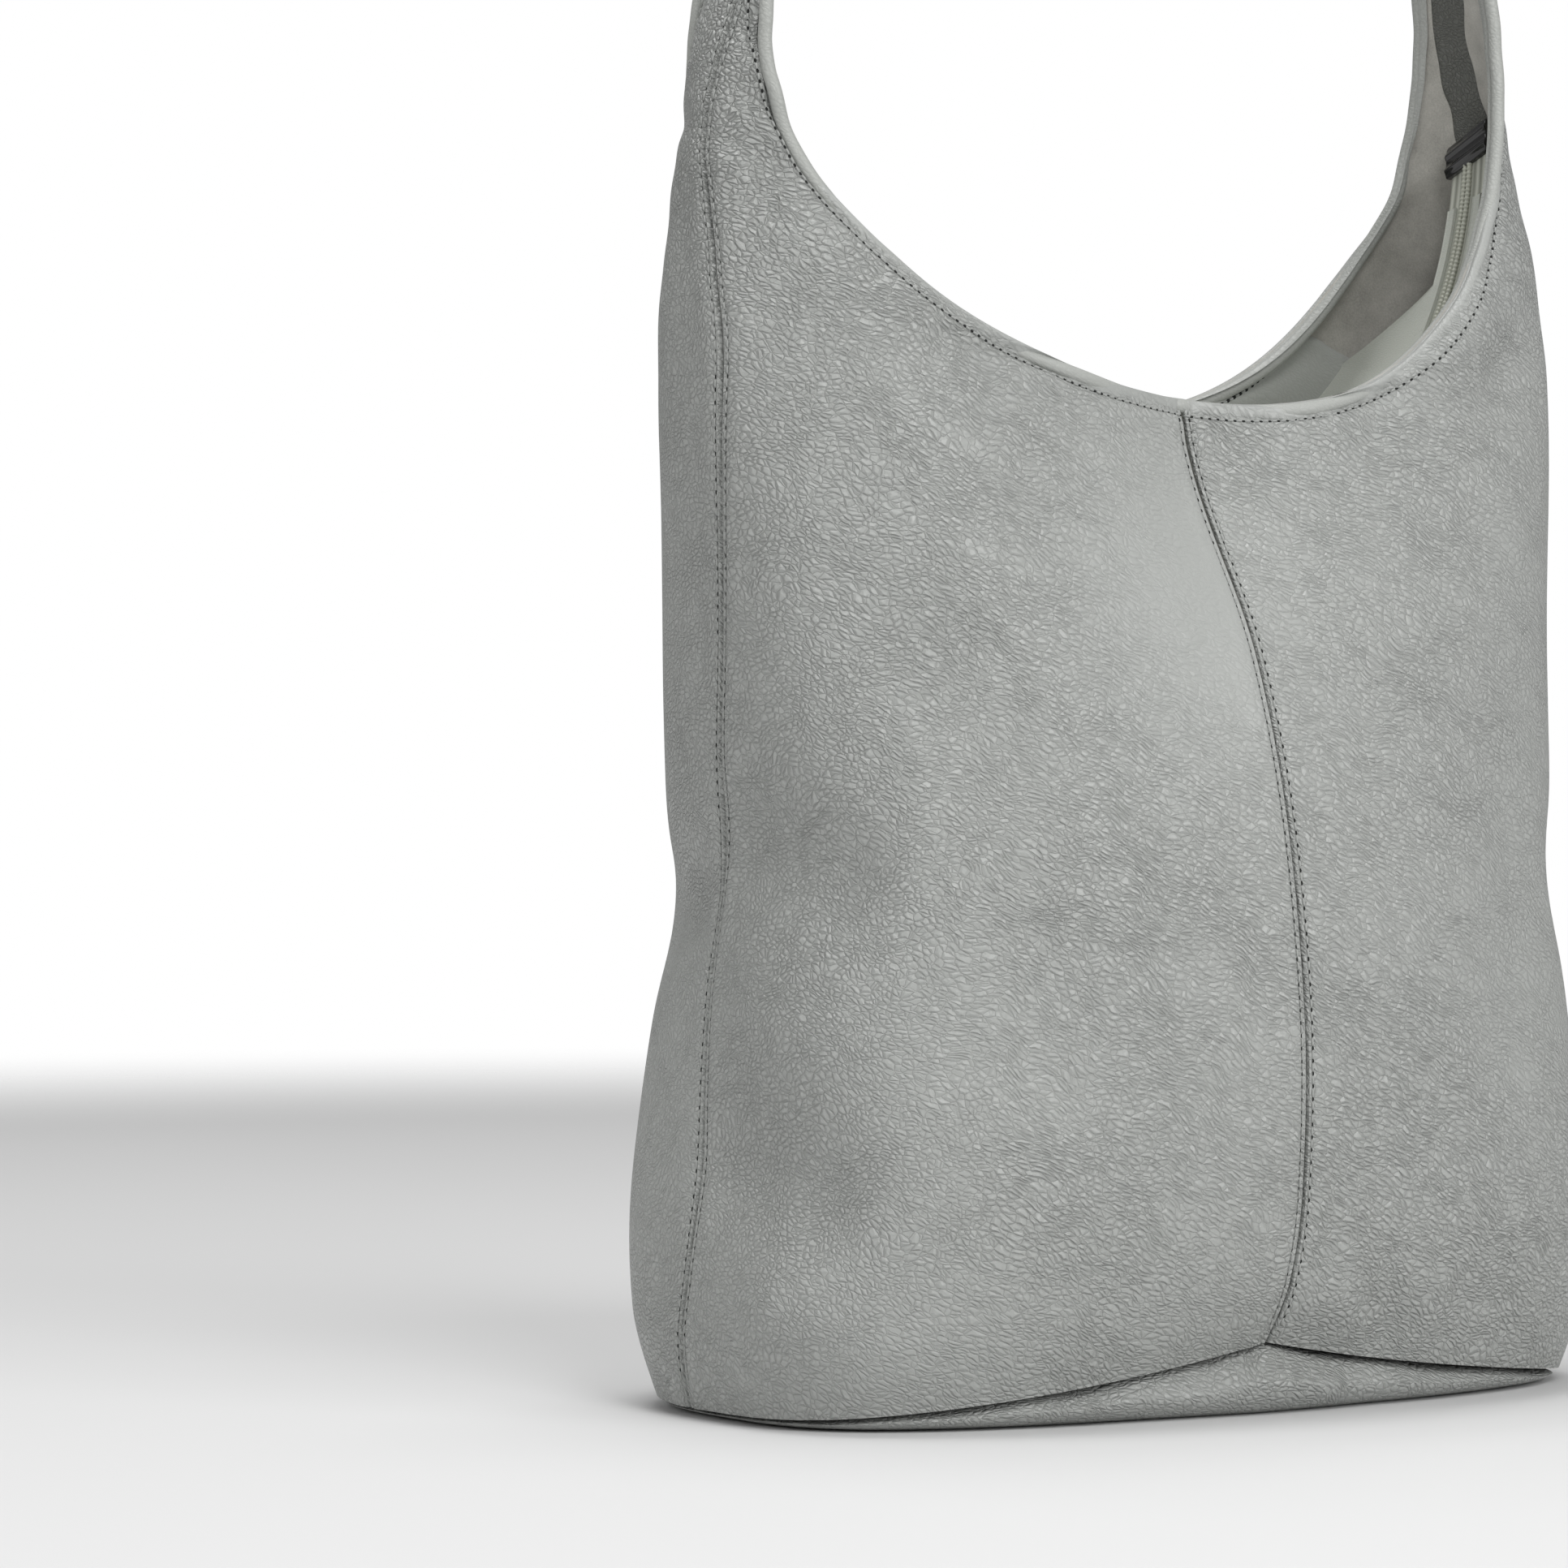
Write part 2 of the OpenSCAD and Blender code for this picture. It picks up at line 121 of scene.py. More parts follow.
def folded(row):
    # rows past the top of the strap count back down the other side
    return np.where(row > topRow, 2 * topRow - row, row)


def edgeLine(row):
    # the centre seam up to the dip, then a squared loop round the opening, as X and Z in mm
    up = spline(centreHeights, np.minimum(row, dipRow))[..., 0]
    angle = np.radians(spline(edgeAngles, np.maximum(row, dipRow) - dipRow)[..., 0])
    low = np.sin(angle) < 0
    r = squared(angle, np.where(low, 2.3, 1.9))
    x = bag["loopHalfW"] * r * np.cos(angle)
    z = bag["loopMidH"] + np.where(low, loopLow, loopHigh) * r * np.sin(angle)
    onSeam = row <= dipRow
    return np.where(onSeam, 0, x), np.where(onSeam, up, z)


def skin(row, v):
    # outer surface of the right half in mm: a squared arc from the side seam (v 0) to the edge
    # (v 1 at the front, -1 at the back)
    s = spline(skinRows, row)
    edgeX, edgeZ = edgeLine(row)
    sweep = np.radians(s[..., 3])
    angle = v * sweep
    k = s[..., 4]
    r, rEnd = squared(angle, k), squared(sweep, k)
    across = (1 - r * np.cos(angle)) / (1 - rEnd * np.cos(sweep))
    out = r * np.sin(angle) / (rEnd * np.sin(sweep)) * (1 - s[..., 5] * v**4)
    x = s[..., 0] + (edgeX - s[..., 0]) * across
    z = s[..., 1] + (edgeZ - s[..., 1]) * across
    return np.stack([x, -s[..., 2] * out, z], -1)


def skinOut(row, v):
    # outward direction within a row: the row's slope turned a quarter turn in the row's own plane
    s = spline(skinRows, row)
    edgeX, edgeZ = edgeLine(row)
    inward = np.stack([edgeX - s[..., 0], np.zeros_like(edgeX), edgeZ - s[..., 1]], -1)
    inward /= np.linalg.norm(inward, axis=-1, keepdims=True)
    slope = skin(row, v + 0.004) - skin(row, v - 0.004)
    n = inward * slope[..., 1:2] - np.array([0, 1, 0]) * (slope * inward).sum(-1, keepdims=True)
    return n / np.linalg.norm(n, axis=-1, keepdims=True)


def seamSpeed(row):
    # mm along a row for each unit of share, at the side seam
    return np.linalg.norm(skin(row, 0.01) - skin(row, -0.01), axis=-1) / 0.02


def seamDistance(row, v):
    # distance from the side seam in mm, along the row: the share times the row's speed at the seam
    return np.abs(v) * seamSpeed(row)


def rowLength(row):
    # length of a row from the side seam to the edge, in mm
    p = skin(row[..., None], np.linspace(0, 1, 40))
    return np.linalg.norm(np.diff(p, axis=-2), axis=-1).sum(-1)


# where the slack leather gives: x, y, z of both ends of a crease or swelling, its reach and how far
# it moves out, all in mm
softForms = np.array([
    [-152, -18, 182, -142, -48, 172, 19, -5.0], [-153, -20, 80, -146, -50, 70, 20, -4.2],
    [-154, -30, 128, -148, -52, 124, 22, 2.6], [-152, -38, 34, -140, -58, 30, 20, 2.4],
    [-112, -70, 232, -94, -98, 112, 24, -2.6], [-126, -38, 366, -84, -80, 232, 22, 2.4],
    [-149, -22, 416, -128, -32, 394, 6, -1.3], [-148, -26, 396, -121, -40, 370, 7, -1.5],
    [-145, -18, 438, -139, -25, 424, 5, -1.0], [-60, -70, 268, -20, -98, 150, 34, -1.4],
    [118, -44, 356, 108, -50, 338, 15, 2.4], [130, -38, 338, 146, -24, 352, 13, -2.8],
    [96, -54, 330, 142, -34, 322, 8, -1.4], [38, -93, 34, 46, -92, 28, 10, -1.8],
    [76, -90, 33, 92, -84, 30, 11, -1.6], [18, -95, 36, 26, -94, 30, 8, 1.0],
    [110, -78, 220, 96, -98, 120, 26, -2.4], [152, -24, 176, 142, -50, 166, 20, -4.0],
    [154, 20, 92, 146, 48, 80, 20, -4.0], [-152, 24, 166, -144, 50, 158, 20, -4.4],
    [104, 76, 236, 92, 98, 120, 25, -2.8], [-108, 74, 226, -96, 98, 108, 25, -2.6],
    [126, 38, 362, 88, 80, 236, 22, 2.4], [-122, 40, 358, -86, 80, 238, 22, 2.2],
    [152, 10, 416, 126, 34, 388, 6, -1.5], [-152, 10, 410, -128, 34, 384, 6, -1.5],
    [10, 80, 240, -30, 98, 130, 34, -1.6], [-36, 93, 36, -50, 91, 28, 10, -1.8],
    [60, 91, 34, 74, 89, 28, 11, -1.6],
])


def slack(p):
    # outward movement of the leather at p in mm: bell-shaped creases about short lines, a slow swell
    # of sines, and a quick ripple of sines on the wings
    move = np.zeros(p.shape[:-1])
    for form in softForms:
        start, along = form[:3], form[3:6] - form[:3]
        t = np.clip(((p - start) @ along) / (along @ along), 0, 1)
        gap = np.linalg.norm(p - start - t[..., None] * along, axis=-1)
        reach, depth = form[6:]
        move += depth * bell(gap, 0, reach)
    x, y, z = p[..., 0], p[..., 1], p[..., 2]
    drift = np.sin(x / 21 + 2 * np.sin(z / 47)) + np.sin(z / 26 + 1.7 * np.sin(x / 39 + y / 23))
    ripple = np.sin((z + 0.7 * x) / 3.1 + 3 * np.sin(x / 17 + z / 29)) * np.sin(x / 9 - z / 13 + y / 11)
    onWing = np.clip((z - 345) / 50, 0, 1) * np.clip((500 - z) / 60, 0, 1)
    belowStrap = np.clip((560 - z) / 100, 0, 1)
    return 1.4 * move + 0.28 * drift * belowStrap + 0.3 * ripple * onWing


# how far the left wing leans to the left, in mm, at every 30 mm of height from 310 up
leanSteps = np.array([0, 0.4, -0.8, -5.5, -7.2, -5, -4, -3.5, -3, -1.5, 0])[:, None]
# how far each side seam wanders to the front, in mm, row by row
wander = {1: np.array([0, 0, 0, 3, 6, 3, -1, -10, -10, -6, -3, 0])[:, None],
          -1: np.array([-11, -3, -6, 8.5, 17.5, 13.5, 5.5, 10, 10, 5, 2, 0])[:, None]}


def lean(p):
    # the opening hangs a little lower on the right, a slow wave in height that fades away from the dip,
    # and the left wing leans out by a smooth curve through its steps
    x, z = p[..., 0], p[..., 2]
    drop = 5 * np.sin(np.pi * np.clip(x / bag["loopHalfW"], -1, 1)) * bell(z, 335, 52)
    onLeft = np.clip((60 - x) / 160, 0, 1)
    moved = p.copy()
    moved[..., 0] += spline(leanSteps, np.clip((z - 310) / 30, 0, 10))[..., 0] * onLeft**2 * (3 - 2 * onLeft)
    moved[..., 2] -= drop
    return moved


def wandered(row, v, side):
    # the share along a row once its side seam has wandered; the opening's edge and the centre seam stay
    forward = np.where(side > 0, spline(wander[1], row)[..., 0], spline(wander[-1], row)[..., 0])
    return v + forward / seamSpeed(row) * (1 - v**2) ** 3


# the lowest leather in mm: how far and from how high it tucks in to the base seam, how far and from
# how high it sags at the sides, and the height of the lowest row of the skin
foot = {"tuck": 6.0, "tuckFrom": 24, "sag": 7.4, "sagFrom": 28, "rowHeight": 52}

# the opening's edge on the right half, front and back, finely stepped
edgePoints = np.concatenate([skin(np.linspace(dipRow, topRow, 900), v) for v in (-1.0, 1.0)])


def edgeDistance(p):
    # distance from the nearest point of the opening's edge in mm, for points of the right half
    flat = p.reshape(-1, 3)
    parts = []
    for some in np.array_split(flat, max(1, len(flat) // 4000)):
        square = (some**2).sum(-1)[:, None] + (edgePoints**2).sum(-1) - 2 * some @ edgePoints.T
        parts.append(np.sqrt(np.maximum(square.min(-1), 0)))
    return np.concatenate(parts).reshape(p.shape[:-1])


def shell(row, v, out, side, relief=0.0):
    # a point of any layer, in metres: the skin moved out by a distance and by the leather's slack.
    # side is +1 or -1 for the right or left half; rows past the top run down the other side
    mirrored = folded(row)
    side = np.where(row > topRow, -side, side)
    v = wandered(mirrored, v, side)
    p, n = skin(mirrored, v), skinOut(mirrored, v)
    flip = side[..., None] * np.array([1, 0, 0]) + np.array([0, 1, 1])
    p, n = p * flip, n * flip
    height = row * foot["rowHeight"]
    tuck = foot["tuck"] * np.clip(1 - height / foot["tuckFrom"], 0, 1) ** 1.8
    sag = foot["sag"] * (1 - np.abs(v) ** 4) * np.clip(1 - height / foot["sagFrom"], 0, 1) ** 1.5
    p = p - sag[..., None] * np.array([0, 0, 1])
    return lean(p + n * (slack(p) - tuck + out + relief)[..., None]) * mm


def grid(rows, shares):
    # every pairing of a row and a share
    return np.meshgrid(rows, shares, indexing="ij")


def crowded(start, end, count, pull=0.13):
    # numbers from start to end that stand closer together at both ends
    s = np.linspace(0, 1, count)
    return start + (end - start) * (s - pull * np.sin(2 * np.pi * s))


def quads(rows, cols, closedRows=False, closedCols=False):
    # corner numbers of the cells of a grid, row by row
    i, j = np.meshgrid(np.arange(rows - (not closedRows)), np.arange(cols - (not closedCols)), indexing="ij")
    i, j = i.ravel(), j.ravel()
    i2, j2 = (i + 1) % rows, (j + 1) % cols
    return np.stack([i * cols + j, i2 * cols + j, i2 * cols + j2, i * cols + j2], -1)


def outwards(points, faces):
    # turns a closed part's faces out when its enclosed volume comes out negative
    a, b, c, d = (points[faces[:, k]] for k in range(4))
    volume = (np.cross(a, b) * c).sum() + (np.cross(a, c) * d).sum()
    return points, faces if volume > 0 else faces[:, ::-1]


def sheetPart(outer, inner):
    # a closed sheet between two grids of points: both faces and the rim that joins them
    rows, cols = outer.shape[:2]
    n = rows * cols
    top = quads(rows, cols)
    rim = np.concatenate([
        np.arange(cols), np.arange(1, rows) * cols + cols - 1,
        (rows - 1) * cols + np.arange(cols - 2, -1, -1), np.arange(rows - 2, 0, -1) * cols,
    ])
    after = np.roll(rim, -1)
    faces = np.vstack([top, top[:, ::-1] + n, np.stack([rim, after, after + n, rim + n], -1)])
    return outwards(np.concatenate([outer.reshape(-1, 3), inner.reshape(-1, 3)]), faces)


def tubePart(path, across, up, halfW, halfH, sides=16, closed=False):
    # an oval section carried along a path; open ends close on a point
    turn = circle(sides)
    w = np.broadcast_to(halfW, len(path)).copy()
    h = np.broadcast_to(halfH, len(path)).copy()
    if not closed:
        w[[0, -1]] = w[[0, -1]] * 1e-3
        h[[0, -1]] = h[[0, -1]] * 1e-3
    ring = path[:, None] + across[:, None] * (w[:, None] * np.cos(turn))[..., None]
    ring = ring + up[:, None] * (h[:, None] * np.sin(turn))[..., None]
    return outwards(ring.reshape(-1, 3), quads(len(path), sides, closedRows=closed, closedCols=True))


def makePiece(name, parts, finish, polygons=(), sharp=40, calm=None):
    # one mesh object from parts of points and four-cornered faces; each point keeps its rest place
    # for the patterns, and the two faces of a leather sheet keep how calm its grain is
    points, faces, start = [], [], 0
    for p, f in parts:
        points.append(p)
        faces.append(f + start)
        start += len(p)
    points, faces = np.concatenate(points), np.concatenate(faces)
    mesh = bpy.data.meshes.new(name)
    if len(polygons):
        mesh.from_pydata(points.tolist(), [], faces.tolist() + [list(p) for p in polygons])
    else:
        mesh.vertices.add(len(points))
        mesh.vertices.foreach_set("co", points.astype(np.float32).ravel())
        mesh.loops.add(faces.size)
        mesh.loops.foreach_set("vertex_index", faces.astype(np.int32).ravel())
        mesh.polygons.add(len(faces))
        mesh.polygons.foreach_set("loop_start", np.arange(0, faces.size, 4, dtype=np.int32))
    mesh.update(calc_edges=True)
    mesh.validate()
    mesh.polygons.foreach_set("use_smooth", np.ones(len(mesh.polygons), dtype=bool))
    mesh.set_sharp_from_angle(angle=math.radians(sharp))
    place = mesh.attributes.new("restPlace", "FLOAT_VECTOR", "POINT")
    co = np.empty(len(mesh.vertices) * 3, dtype=np.float32)
    mesh.vertices.foreach_get("co", co)
    place.data.foreach_set("vector", co)
    if calm is not None:
        quiet = mesh.attributes.new("calm", "FLOAT", "POINT")
        quiet.data.foreach_set("value", np.tile(calm.ravel(), 2).astype(np.float32))
    mesh.materials.append(finish)
    piece = bpy.data.objects.new(name, mesh)
    bpy.context.scene.collection.objects.link(piece)
    return piece


def bends(piece, *nodes):
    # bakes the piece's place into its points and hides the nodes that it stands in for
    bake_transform(piece)
    if nodes:
        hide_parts(*nodes)
    return piece


def rides(piece, node):
    # moves with the bag, in place of a node
    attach(piece, "bag")
    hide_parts(node)
    return piece


def linear(code):
    # an sRGB hex colour as linear red, green, blue and full alpha
    parts = [int(code[k:k + 2], 16) / 255 for k in (1, 3, 5)]
    return [c / 12.92 if c <= 0.04045 else ((c + 0.055) / 1.055) ** 2.4 for c in parts] + [1]


def add(tree, kind, settings=None, inputs=None, **links):
    # adds one shader node: settings are its properties, inputs its socket values, and links name
    # the sockets fed to it
    made = tree.nodes.new("ShaderNode" + kind)
    for key, value in (settings or {}).items():
        setattr(made, key, value)
    for key, value in (inputs or {}).items():
        made.inputs[key].default_value = value
    for key, socket in links.items():
        tree.links.new(socket, made.inputs[int(key[1:]) if key[1:].isdigit() else key.replace("_", " ")])
    return made


def clouds(tree, place, scale, detail, roughness=0.5):
    # drifting noise from 0 to 1, scale times to the metre
    sizes = {"Scale": scale, "Detail": detail, "Roughness": roughness}
    return add(tree, "TexNoise", {}, sizes, Vector=place).outputs["Fac"]


def roughen(tree, shader, height, depth):
    # relief that the light sees: the height pattern, depth mm deep
    rise = add(tree, "Bump", {}, {"Distance": depth * mm}, Height=height).outputs[0]
    tree.links.new(rise, shader.inputs["Normal"])


def newFinish(name, roughness, specular=0.5, metallic=0.0, sheen=0.0, coat=0.0):
    # a finish with its shader's plain values set, and the rest place that its patterns read
    finish = bpy.data.materials.new(name)
    finish.use_nodes = True
    tree = finish.node_tree
    shader = tree.nodes["Principled BSDF"]
    plain = {"Roughness": roughness, "Specular IOR Level": specular, "Metallic": metallic,
             "Sheen Weight": sheen, "Coat Weight": coat}
    for socket, value in plain.items():
        shader.inputs[socket].default_value = value
    place = add(tree, "Attribute", {"attribute_name": "restPlace"}).outputs["Vector"]
    return finish, tree, shader, place


def pebbledLeather(name, hide, crease, pebble=2.0, depth=0.62, gloss=0.35, slope=0.42):
    # drum-tumbled full-grain cowhide: flat-topped pebbles a few mm across with soft shoulders, and longer
    # creases that flow aslant, deepest on the worked leather of the wings; painted shade makes the colour
    # a little darker down in the creases
    finish, tree, shader, place = newFinish(name, gloss)
    eased = {"interpolation_type": "SMOOTHSTEP"}

    def reckon(operation, inputs=None, kind="Math", **links):
        # one step of arithmetic on patterns
        return add(tree, kind, {"operation": operation}, inputs, **links).outputs[0]

    def step(top, value):
        # eases from 0 to 1 as the value goes from 0 to top
        return add(tree, "MapRange", eased, {"From Max": top}, Value=value).outputs[0]

    def weigh(weight, part, rest):
        # weight times part, plus rest
        return reckon("MULTIPLY_ADD", {1: weight}, i0=part, i2=rest)

    flowing = place
    for scale, reach in ((38.0, 0.012), (420.0, 0.0008)):
        sway = add(tree, "TexNoise", {}, {"Scale": scale, "Detail": 2.0}, Vector=place).outputs["Color"]
        sway = reckon("SUBTRACT", {1: (0.5, 0.5, 0.5)}, i0=sway, kind="VectorMath")
        sway = reckon("SCALE", {"Scale": reach}, i0=sway, kind="VectorMath")
        flowing = reckon("ADD", i0=flowing, i1=sway, kind="VectorMath")
    drawnOut = {"Rotation": (0, slope, 0), "Scale": (1.9, 1.1, 0.78)}
    slant = add(tree, "Mapping", {"vector_type": "TEXTURE"}, drawnOut, Vector=flowing).outputs[0]
    cells = add(tree, "TexVoronoi", {"feature": "DISTANCE_TO_EDGE"}, {"Scale": 1000 / pebble}, Vector=slant)
    shoulder, crack = (step(top, cells.outputs["Distance"]) for top in (0.36, 0.06))
    height = weigh(0.3, crack, shoulder)
    drawn = add(tree, "Mapping", {}, {"Scale": (0.4, 1, 1)}, Vector=slant).outputs[0]
    lines = clouds(tree, drawn, 120.0, 2.0, 0.4)
    lines = reckon("SUBTRACT", {1: 0.5}, i0=lines)
    lines = step(0.012, reckon("ABSOLUTE", i0=lines))
    height = weigh(0.3, lines, height)
    zone = clouds(tree, place, 11.0, 3.0, 0.6)
    reach = {"From Min": 0.38, "From Max": 0.6, "To Min": 0.55, "To Max": 0.85}
    strong = add(tree, "MapRange", {}, reach, Value=zone).outputs[0]
    up = add(tree, "SeparateXYZ", Vector=place).outputs["Z"]
    reach = {"From Min": 0.33, "From Max": 0.42, "To Max": 0.5}
    worked = add(tree, "MapRange", eased, reach, Value=up).outputs[0]
    strong = reckon("ADD", i0=strong, i1=worked)
    calm = add(tree, "Attribute", {"attribute_name": "calm"}).outputs["Fac"]
    lively = reckon("SUBTRACT", {0: 1.0}, i1=calm)
    strong = reckon("MULTIPLY", i0=strong, i1=lively)
    height = reckon("MULTIPLY", i0=height, i1=strong)
    loose = clouds(tree, place, 75.0, 2.0)
    pores = clouds(tree, place, 1500.0, 1.0)
    roughen(tree, shader, weigh(0.12, pores, weigh(1.6, loose, height)), depth)
    # painted shade: down in the creases the colour turns to the darker crease colour, most where the grain is
    # strong
    gap = reckon("SUBTRACT", {0: 1.0}, i1=crack)
    creaseShade = reckon("MULTIPLY", i0=gap, i1=strong)
    colour = add(tree, "MixRGB", {}, {1: linear(hide), 2: linear(crease)}, i0=creaseShade).outputs[0]
    reach = {"From Min": 0.3, "From Max": 0.7, "To Min": 0.985, "To Max": 1.015}
    tone = add(tree, "MapRange", {}, reach, Value=zone).outputs[0]
    colour = reckon("SCALE", i0=colour, Scale=tone, kind="VectorMath")
    tree.links.new(colour, shader.inputs["Base Color"])
    rough = add(tree, "MapRange", {}, {"To Min": gloss + 0.18, "To Max": gloss}, Value=crack).outputs[0]
    tree.links.new(rough, shader.inputs["Roughness"])
    return finish


def suedeCloth():
    # microfibre suede: a short nap that scatters light, with lighter and darker strokes where it has
    # been brushed
    finish, tree, shader, place = newFinish("suedeCloth", 0.95, specular=0.15, sheen=0.35)
    strokes = clouds(tree, place, 55.0, 5.0, 0.65)
    nap = clouds(tree, place, 1700.0, 3.0)
    both = add(tree, "Math", {"operation": "MULTIPLY_ADD"}, {1: 0.5}, i0=nap, i2=strokes).outputs[0]
    blend = add(tree, "MapRange", {}, {"From Min": 0.5, "From Max": 1.0}, Value=both).outputs[0]
    colour = add(tree, "MixRGB", {}, {1: linear("#989690"), 2: linear("#bebcb5")}, i0=blend).outputs[0]
    tree.links.new(colour, shader.inputs["Base Color"])
    roughen(tree, shader, both, 0.25)
    return finish


def wovenTape():
    # narrow polyester tape: a fine herringbone weave, about 0.5 mm a rib, with a dull silky look
    finish, tree, shader, place = newFinish("wovenTape", 0.62, specular=0.35, sheen=0.15)
    weave = {"Scale": 1000 / (0.5 * 20), "Distortion": 0.6}
    rib = add(tree, "TexWave", {"bands_direction": "Y"}, weave, Vector=place).outputs["Fac"]
    colour = add(tree, "MixRGB", {}, {1: linear("#8b8d83"), 2: linear("#c3c5ba")}, i0=rib).outputs[0]
    tree.links.new(colour, shader.inputs["Base Color"])
    roughen(tree, shader, rib, 0.12)
    return finish


def plainFinish(name, colour, roughness, grain=900.0, depth=0.03, **more):
    # moulded or polished surfaces: one colour that drifts a little, and a fine unevenness that breaks
    # the gloss
    finish, tree, shader, place = newFinish(name, roughness, **more)
    cloud = clouds(tree, place, grain, 3.0)
    dark = [c * 0.82 for c in linear(colour)[:3]] + [1]
    mixed = add(tree, "MixRGB", {}, {1: dark, 2: linear(colour)}, i0=cloud).outputs[0]
    tree.links.new(mixed, shader.inputs["Base Color"])
    roughen(tree, shader, cloud, depth)
    return finish


# each leather's second colour is the painted shade down in its creases
hideLeather = pebbledLeather("pebbledCowhide", "#a4a6a3", "#939592")
hemLeather = pebbledLeather("turnedHemLeather", "#a7a9a5", "#a0a29e", pebble=1.7, depth=0.08, gloss=0.45)
# painted shade: the side strip's leather is coloured dark for the shade it sits in inside the bag
shadedSideStrip = pebbledLeather("sideStripPaintedShade", "#60615c", "#4d4e4a", pebble=1.3, depth=0.2, gloss=0.42)
zipLeather = pebbledLeather("thinZipLeather", "#bfc2ba", "#b6b9b1", pebble=1.2, depth=0.04, gloss=0.55)
suede = suedeCloth()
tape = wovenTape()
coilNylon = plainFinish("nylonCoil", "#b9bbae", 0.4, depth=0.02)  # drawn nylon: milky, a little glossy
thread = plainFinish("polyesterThread", "#a2a4a1", 0.6, sheen=0.2)  # twisted thread in the leather's colour
holeShade = plainFinish("needleHolePaintedShade", "#2e2f2e", 0.9, specular=0.1)  # the shadow inside a needle hole
glossBlack = plainFinish("glossyBlackClip", "#0c0c0d", 0.16, depth=0.01, coat=0.5)  # patent-like moulded clip
plated = plainFinish("platedZinc", "#a9a9ab", 0.28, metallic=1.0)  # cast zinc, nickel plated and tumbled
board = plainFinish("greyBoard", "#9c8f7a", 0.9, depth=0.1)  # pressed paper board
print("finishes ready")

panel = {"cols": 110, "lowRows": 170, "highRows": 110, "thick": 1.4, "seamGroove": 1.4, "puff": 0.4,
         "stitchGap": 2.1, "stitchDip": 0.55, "hemStitch": 4.8, "hemDip": 0.9, "hemRoll": 0.35,
         "underStrap": 1.7}
panelRows = np.concatenate([np.linspace(0, dipRow, panel["lowRows"]),
                            np.linspace(dipRow, lapRow, panel["highRows"] + 1)[1:]])


def seamRelief(d, groove):
    # across a sewn seam: a sharp groove, a pressed line at the stitches, and slack leather puffed up
    # beyond them
    puff = panel["puff"] * bell(d, 5.5, 3.6)
    pressed = panel["stitchDip"] * bell(d, panel["stitchGap"], 0.6)
    return puff - panel["seamGroove"] * bell(d, 0, groove) - pressed


def outerRelief(row, v, side):
    # relief of the outer leather: both seams and the stitched hem, which stands up as a roll along the
    # opening. also returns how calm the grain is: flattened in the hem, and softer left of the middle
    # of the front
    p = skin(row, v)
    seam = seamRelief(seamDistance(row, v), 0.7) * (np.abs(v) < 0.5)
    centre = seamRelief(np.abs(p[..., 0]), 0.5) * np.clip((dipRow - row) / 0.04, 0, 1)
    d = np.maximum(edgeDistance(p), 0)
    hem = panel["puff"] * bell(d, 9, 3.5) + panel["hemRoll"] * bell(d, 2, 1.6)
    hem = hem - panel["hemDip"] * bell(d, panel["hemStitch"], 0.8)
    high = np.clip((p[..., 2] - 300) / 15, 0, 1)
    calm = 0.9 * np.exp(-((d / 4.8) ** 6)) * high
    middle = 0.8 * np.exp(-((p[..., 0] / 52) ** 2) - ((p[..., 2] - 262) / 66) ** 2) * (v > 0) * (side < 0)
    return seam + centre + hem * high, np.maximum(calm, middle)


def leatherPanel(name, side, face, nodes):
    # one outer panel: the skin from its base seam to under the strap, and from the side seam to the
    # centre or edge
    row, v = grid(panelRows, crowded(0.0012, 0.9988, panel["cols"]) * face)
    relief, calm = outerRelief(row, v, side)
    under = -panel["underStrap"] * np.clip((row - strapRow + 0.06) / 0.06, 0, 1)
    outer = shell(row, v, under, side, relief)
    inner = shell(row, v, np.minimum(under - panel["thick"], under + relief - 0.5), side)
    piece = makePiece(name, [sheetPart(outer, inner)], hideLeather, calm=calm)
    return bends(piece, *nodes)


panels = {
    ("right", "front"): leatherPanel("frontRightPanel", 1, 1, ["front_right_panel", "right_strap_flex"]),
    ("left", "front"): leatherPanel("frontLeftPanel", -1, 1, ["front_left_panel", "left_strap_flex"]),
    ("right", "back"): leatherPanel("backRightPanel", 1, -1, ["back_right_panel"]),
    ("left", "back"): leatherPanel("backLeftPanel", -1, -1, ["back_left_panel"]),
}
print("leather panels ready")

strap = {"rows": 190, "cols": 40, "endRoll": 0.35}


def strapHalf(name, face, node):
    # the strap: the same skin carried on over the top, lapped onto both wings
    rows = crowded(strapRow, 2 * topRow - strapRow, strap["rows"], 0.05)
    row, v = grid(rows, crowded(0.003, 0.997, strap["cols"]) * face)
    ends = np.minimum(row - strapRow, 2 * topRow - strapRow - row)
    relief, calm = outerRelief(folded(row), v, 1)
    relief = relief + strap["endRoll"] * bell(ends, 0, 0.05)
    outer = shell(row, v, 0, 1, relief)
    inner = shell(row, v, np.minimum(-panel["thick"], relief - 0.5), 1)
    piece = makePiece(name, [sheetPart(outer, inner)], hideLeather, calm=calm)
    return bends(piece, node)


straps = {"front": strapHalf("strapFront", 1, "strap_front"),
          "back": strapHalf("strapBack", -1, "strap_back")}

base = {"roll": 14, "bulge": 6.2, "cornerBulge": -2.5, "rings": 26, "around": 60, "thick": 1.4, "tuckIn": 3.2}


def baseRing(out, up):
    # the base's outline at the seam, moved out level; out gives the distance in mm for each share of a row,
    # and up gives each point's height in m
    v = np.linspace(0, 1, base["around"])
    zero = np.zeros_like(v)
    ring = []
    for side, share in [(1, v), (-1, v[::-1]), (-1, -v), (1, -v[::-1])]:
        p = shell(zero, share, 0, side)
        n = skinOut(zero, share) * [side, 1, 0]
        n /= np.linalg.norm(n, axis=-1, keepdims=True)
        ring.append((p + n * out(share)[:, None] * mm)[:-1])
    ring = np.concatenate(ring)
    ring[:, 2] = up(ring)
    return ring


